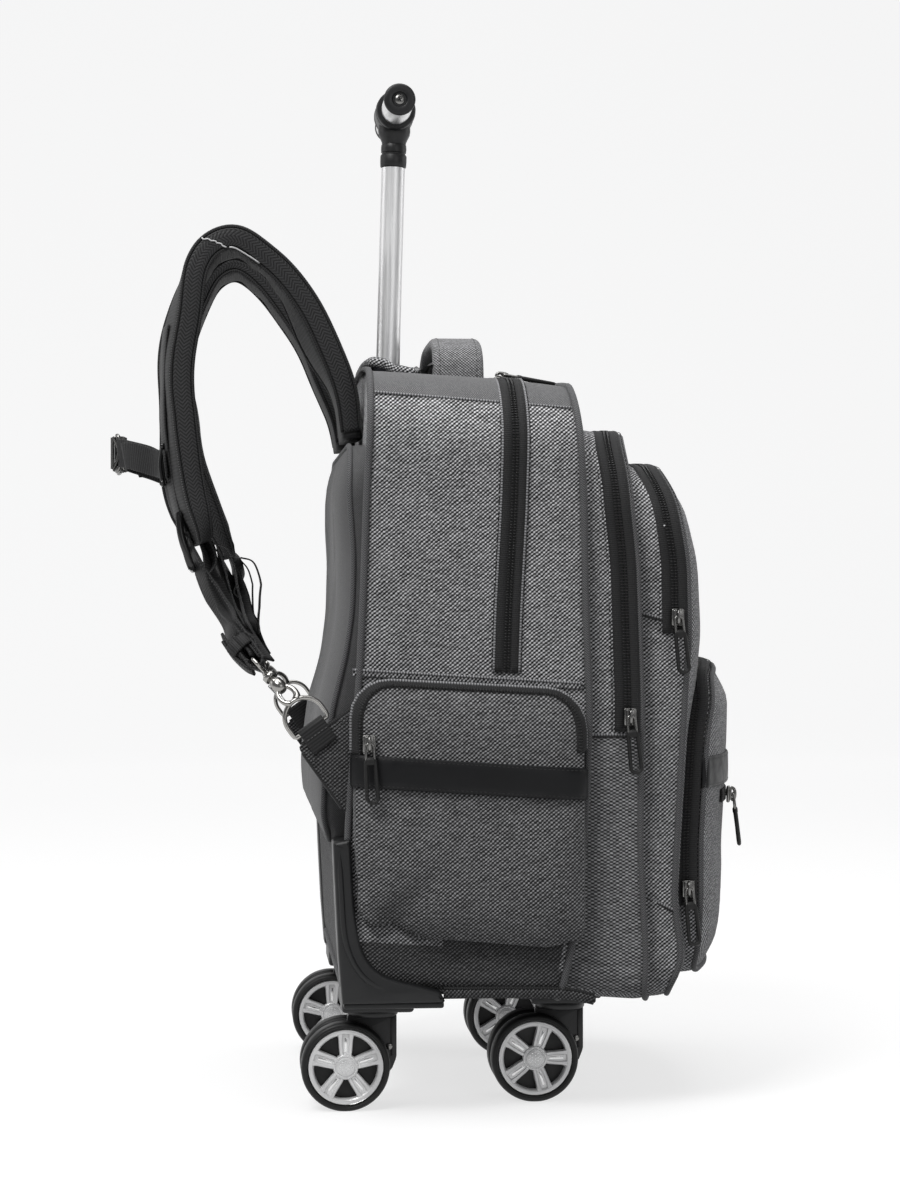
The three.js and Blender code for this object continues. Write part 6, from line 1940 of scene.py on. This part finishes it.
# Wings behind the pockets, with the webbing loop on the ring's bar
for label, side in SIDES:
    shape = Shape()
    outline = [(64, 268.7), (76, 272.7), (90, 262.6), (102, 254), (111, 247.4), (112.9, 245.2),
               (112.4, 243),
               (104, 231.6), (92, 215.4), (83, 202.6), (71, 206.6)]
    turn = Matrix(((0, 0, 1, 157), (1, 0, 0, 0), (0, 1, 0, 0), (0, 0, 0, 1)))
    # Painted shade: the wing gets the darker copy of the weave
    shape.plate(outline, [], 3.0, CLOTH_SHADED, turn, 0.6)
    top_edge = np.array([(160.2, 76 + 36.4 * t, 272.0 - 26.4 * t) for t in np.linspace(0.0, 0.96, 30)])
    foot_edge = np.array([(160.2, 84 + 27.0 * t, 204.4 + 38.0 * t) for t in np.linspace(0.02, 0.98, 26)])
    out = np.repeat([[1.0, 0, 0]], 30, axis=0)
    for drop in (2.0, 4.2):
        shape.beads(top_edge - edge_out * drop, out, 2.9, 2.0, 0.5, 0.35, THREAD, 0.0)
    shape.beads(foot_edge + np.array([0, -2.2, 1.6]), out[:26], 2.9, 2.0, 0.5, 0.35, THREAD, 0.0)
    shape.tube(np.array(top_edge) - np.array([1.7, 0, 0]), 1.7, PIPING_DARK, 8)
    shape.tube(np.array(foot_edge) - np.array([1.7, 0, 0]), 1.6, PIPING_DARK, 8)
    loop = [(-2.6, -15), (-2.9, -8), (-2.7, -2)]
    loop += [(-2.6 * math.cos(a), 2.6 * math.sin(a)) for a in np.linspace(0, math.pi, 9)]
    loop += [(2.7, -2), (2.9, -8), (2.6, -15)]
    path = spline([bar_centre + np.array([x, 0, 0]) + edge_out * v for x, v in loop], 1.2)
    shape.strip(path, np.repeat([edge_along], len(path), axis=0), 19, 1.3, WEBBING, 0.9, 5)
    shape.beads([bar_centre + np.array([3.5, 0, 0]) - edge_out * 5.5 + edge_along * u
                for u in (-8.5, 0, 8.5)],
                np.repeat([[1.0, 0, 0]], 3, axis=0), 2.8, 2.0, 0.5, 0.35, THREAD, 0.1)
    flipped(shape, side)
    put(
        shape, "wing_" + label, "bag", (CLOTH_SHADED, THREAD, PIPING_DARK, WEBBING),
        ("side_wing_" + label,)
    )

# Chest strap, closed across the straps' fronts
shape = Shape()
half = [
    (84, 201.6, 434), (64, 201.6, 434), (50, 208, 436.2), (38, 219, 440.6), (29, 229, 443.4),
    (20, 235.1, 445),
    (9, 236.4, 445.2),
]
for side in (-1, 1):
    path = spline([(x * side, y, z) for x, y, z in half], 2.0)
    path = path + np.array([[0, 0.5 * math.sin(i * 0.5), 0] for i in range(len(path))])
    shape.strip(path, np.repeat([[0, 0.12, 1.0]], len(path), axis=0), WEBBING_WIDTH, 1.7, WEBBING, 0.9, 5)
    tail = spline([(x * side, y, z) for x, y, z in (
        (60, 205.2, 435.2), (50, 211.4, 437.0), (40, 222.8, 441.0), (33, 229.4, 442.6), (29, 232.2, 442.0),
    )], 2.0)
    shape.strip(tail, np.repeat([[0, 0.12, 1.0]], len(tail), axis=0), 19, 1.5, WEBBING, 0.9, 5)
draped(shape)
put(shape, "chest_webbing", "bag", (WEBBING,), ("sternum_strap",))
shape = Shape()
for side in (-1, 1):
    # Slider on the shoulder strap
    for x in (57.5, 66, 74.5):
        a = (x * side, 203.9 - (1.8 if x == 66 else 0), 421.5)
        b = (x * side, 203.9 - (1.8 if x == 66 else 0), 447)
        shape.tube(
            spline([a, (a[0], a[1] + 1.6, 434.4), b], 2.5), 1.5, GLOSSY if x != 57.5 else GUNMETAL, 10
        )
    for z in (421.5, 447):
        shape.tube(
            [(55.5 * side, 203.9, z), (66 * side, 204.5, z), (76.5 * side, 203.9, z)], 1.9, GLOSSY, 10
        )
draped(shape)
put(shape, "chest_sliders", "bag", (GLOSSY, GUNMETAL))
shape = Shape()
CLASP = Matrix.Translation((0, 236.1, 445))
shape.block((16, 7.4, 21), GLOSSY, CLASP, 0.3, 3)
shape.block((9, 8.4, 12), GLOSSY, CLASP, 0.25, 3)
for side in (-1, 1):
    shape.block((2.6, 6.6, 25), GLOSSY, CLASP @ Matrix.Translation((side * 9.2, 0, 0)), 0.4, 3)
    for high in (-1, 1):
        shape.tube(spline([
            (side * 8, 236.1, 445 + high * 11.2), (side * 12, 237.4, 445 + high * 12.6),
            (side * 16, 236.8, 445 + high * 12.2), (side * 17.0, 235.4, 445 + high * 9.5),
        ], 1.2), 1.5, GUNMETAL, 10)
        shape.tube(spline([
            (side * 17, 236.1 - 4.2, 445 + high * 11.5), (side * 17.3, 236.1 - 0.6, 445 + high * 4),
            (side * 17.3, 236.1 + 0.6, 445 - high * 4), (side * 17, 236.1 + 4.2, 445 - high * 11.5),
        ], 1.2), 1.15, GUNMETAL, 10)
    shape.tube([(side * 17, 231.6, z) for z in (434, 440, 450, 456)], 1.3, GUNMETAL, 10)
    shape.tube([(side * 17, 240.6, z) for z in (434, 440, 450, 456)], 1.3, GUNMETAL, 10)
put(shape, "chest_clasp", "bag", (GLOSSY, GUNMETAL), ("sternum_buckle",), sharp=50)

# Corner guards and caster seats
for label, side in SIDES:
    shape = Shape()
    outline = [(79.5, 184.2), (80.2, 185), (90.2, 183.2), (91, 182.0), (89.6, 150), (87.6, 110), (85, 77)]
    outline += [(18.4, 77.4), (17.6, 78.6), (20.4, 84.2), (22, 85)]
    inner = spline([
        (0, 22, 85), (0, 34, 88.4), (0, 46, 91.4), (0, 57, 95.4), (0, 66, 102.5), (0, 72, 113),
        (0, 75.2, 126),
        (0, 77.0, 142), (0, 78.4, 164), (0, 79.5, 184.2),
    ], 3.0)
    outline += [(float(p[1]), float(p[2])) for p in inner[1:-1]]
    turn = Matrix(((0, 0, 1, 135.3), (1, 0, 0, 0), (0, 1, 0, 0), (0, 0, 0, 1)))
    shape.plate(outline, [], 30, SATIN, turn, 2.4)
    # A raised ridge that runs down the post and round into the foot
    ridge = spline([
        (164.6, 87.2, 180), (164.9, 85.6, 150), (165.0, 83.8, 124), (164.8, 79, 107), (164.2, 70, 94),
        (163.6, 56, 86),
        (163.0, 42, 82.5), (162.4, 30, 80.5),
    ], 2.5)
    shape.tube(
        ridge, np.interp(np.linspace(0, 1, len(ridge)), [0, 0.12, 0.7, 1], [0.6, 1.9, 2.1, 0.7]), SATIN, 12
    )
    # Post down to the caster, with its stepped foot
    shape.block((58, 48, 12), SATIN, Matrix.Translation((110, 60.0, 73.0)), 0.22, 4)
    shape.block((54, 42, 8), SATIN, Matrix.Translation((110, 62.0, 71.0)), 0.25, 4)
    shape.block((18, 66, 4.5), SATIN, Matrix.Translation((153, 51, 75.6)), 0.35, 3)
    flipped(shape, side)
    put(
        shape, "corner_guard_moulded_" + label, "bag", (SATIN,),
        ("corner_guard_" + label,), sharp=50
    )
    shape = Shape()
    shape.block((56, 50, 6), SATIN, Matrix.Translation((88, -68, 74.2)), 0.3, 4)
    shape.block((48, 44, 6), SATIN, Matrix.Translation((88, -68, 70.2)), 0.3, 4)
    flipped(shape, side)
    put(
        shape, "caster_seat_" + label, "bag", (SATIN,), ("front_caster_seat_" + label,),
        sharp=50
    )
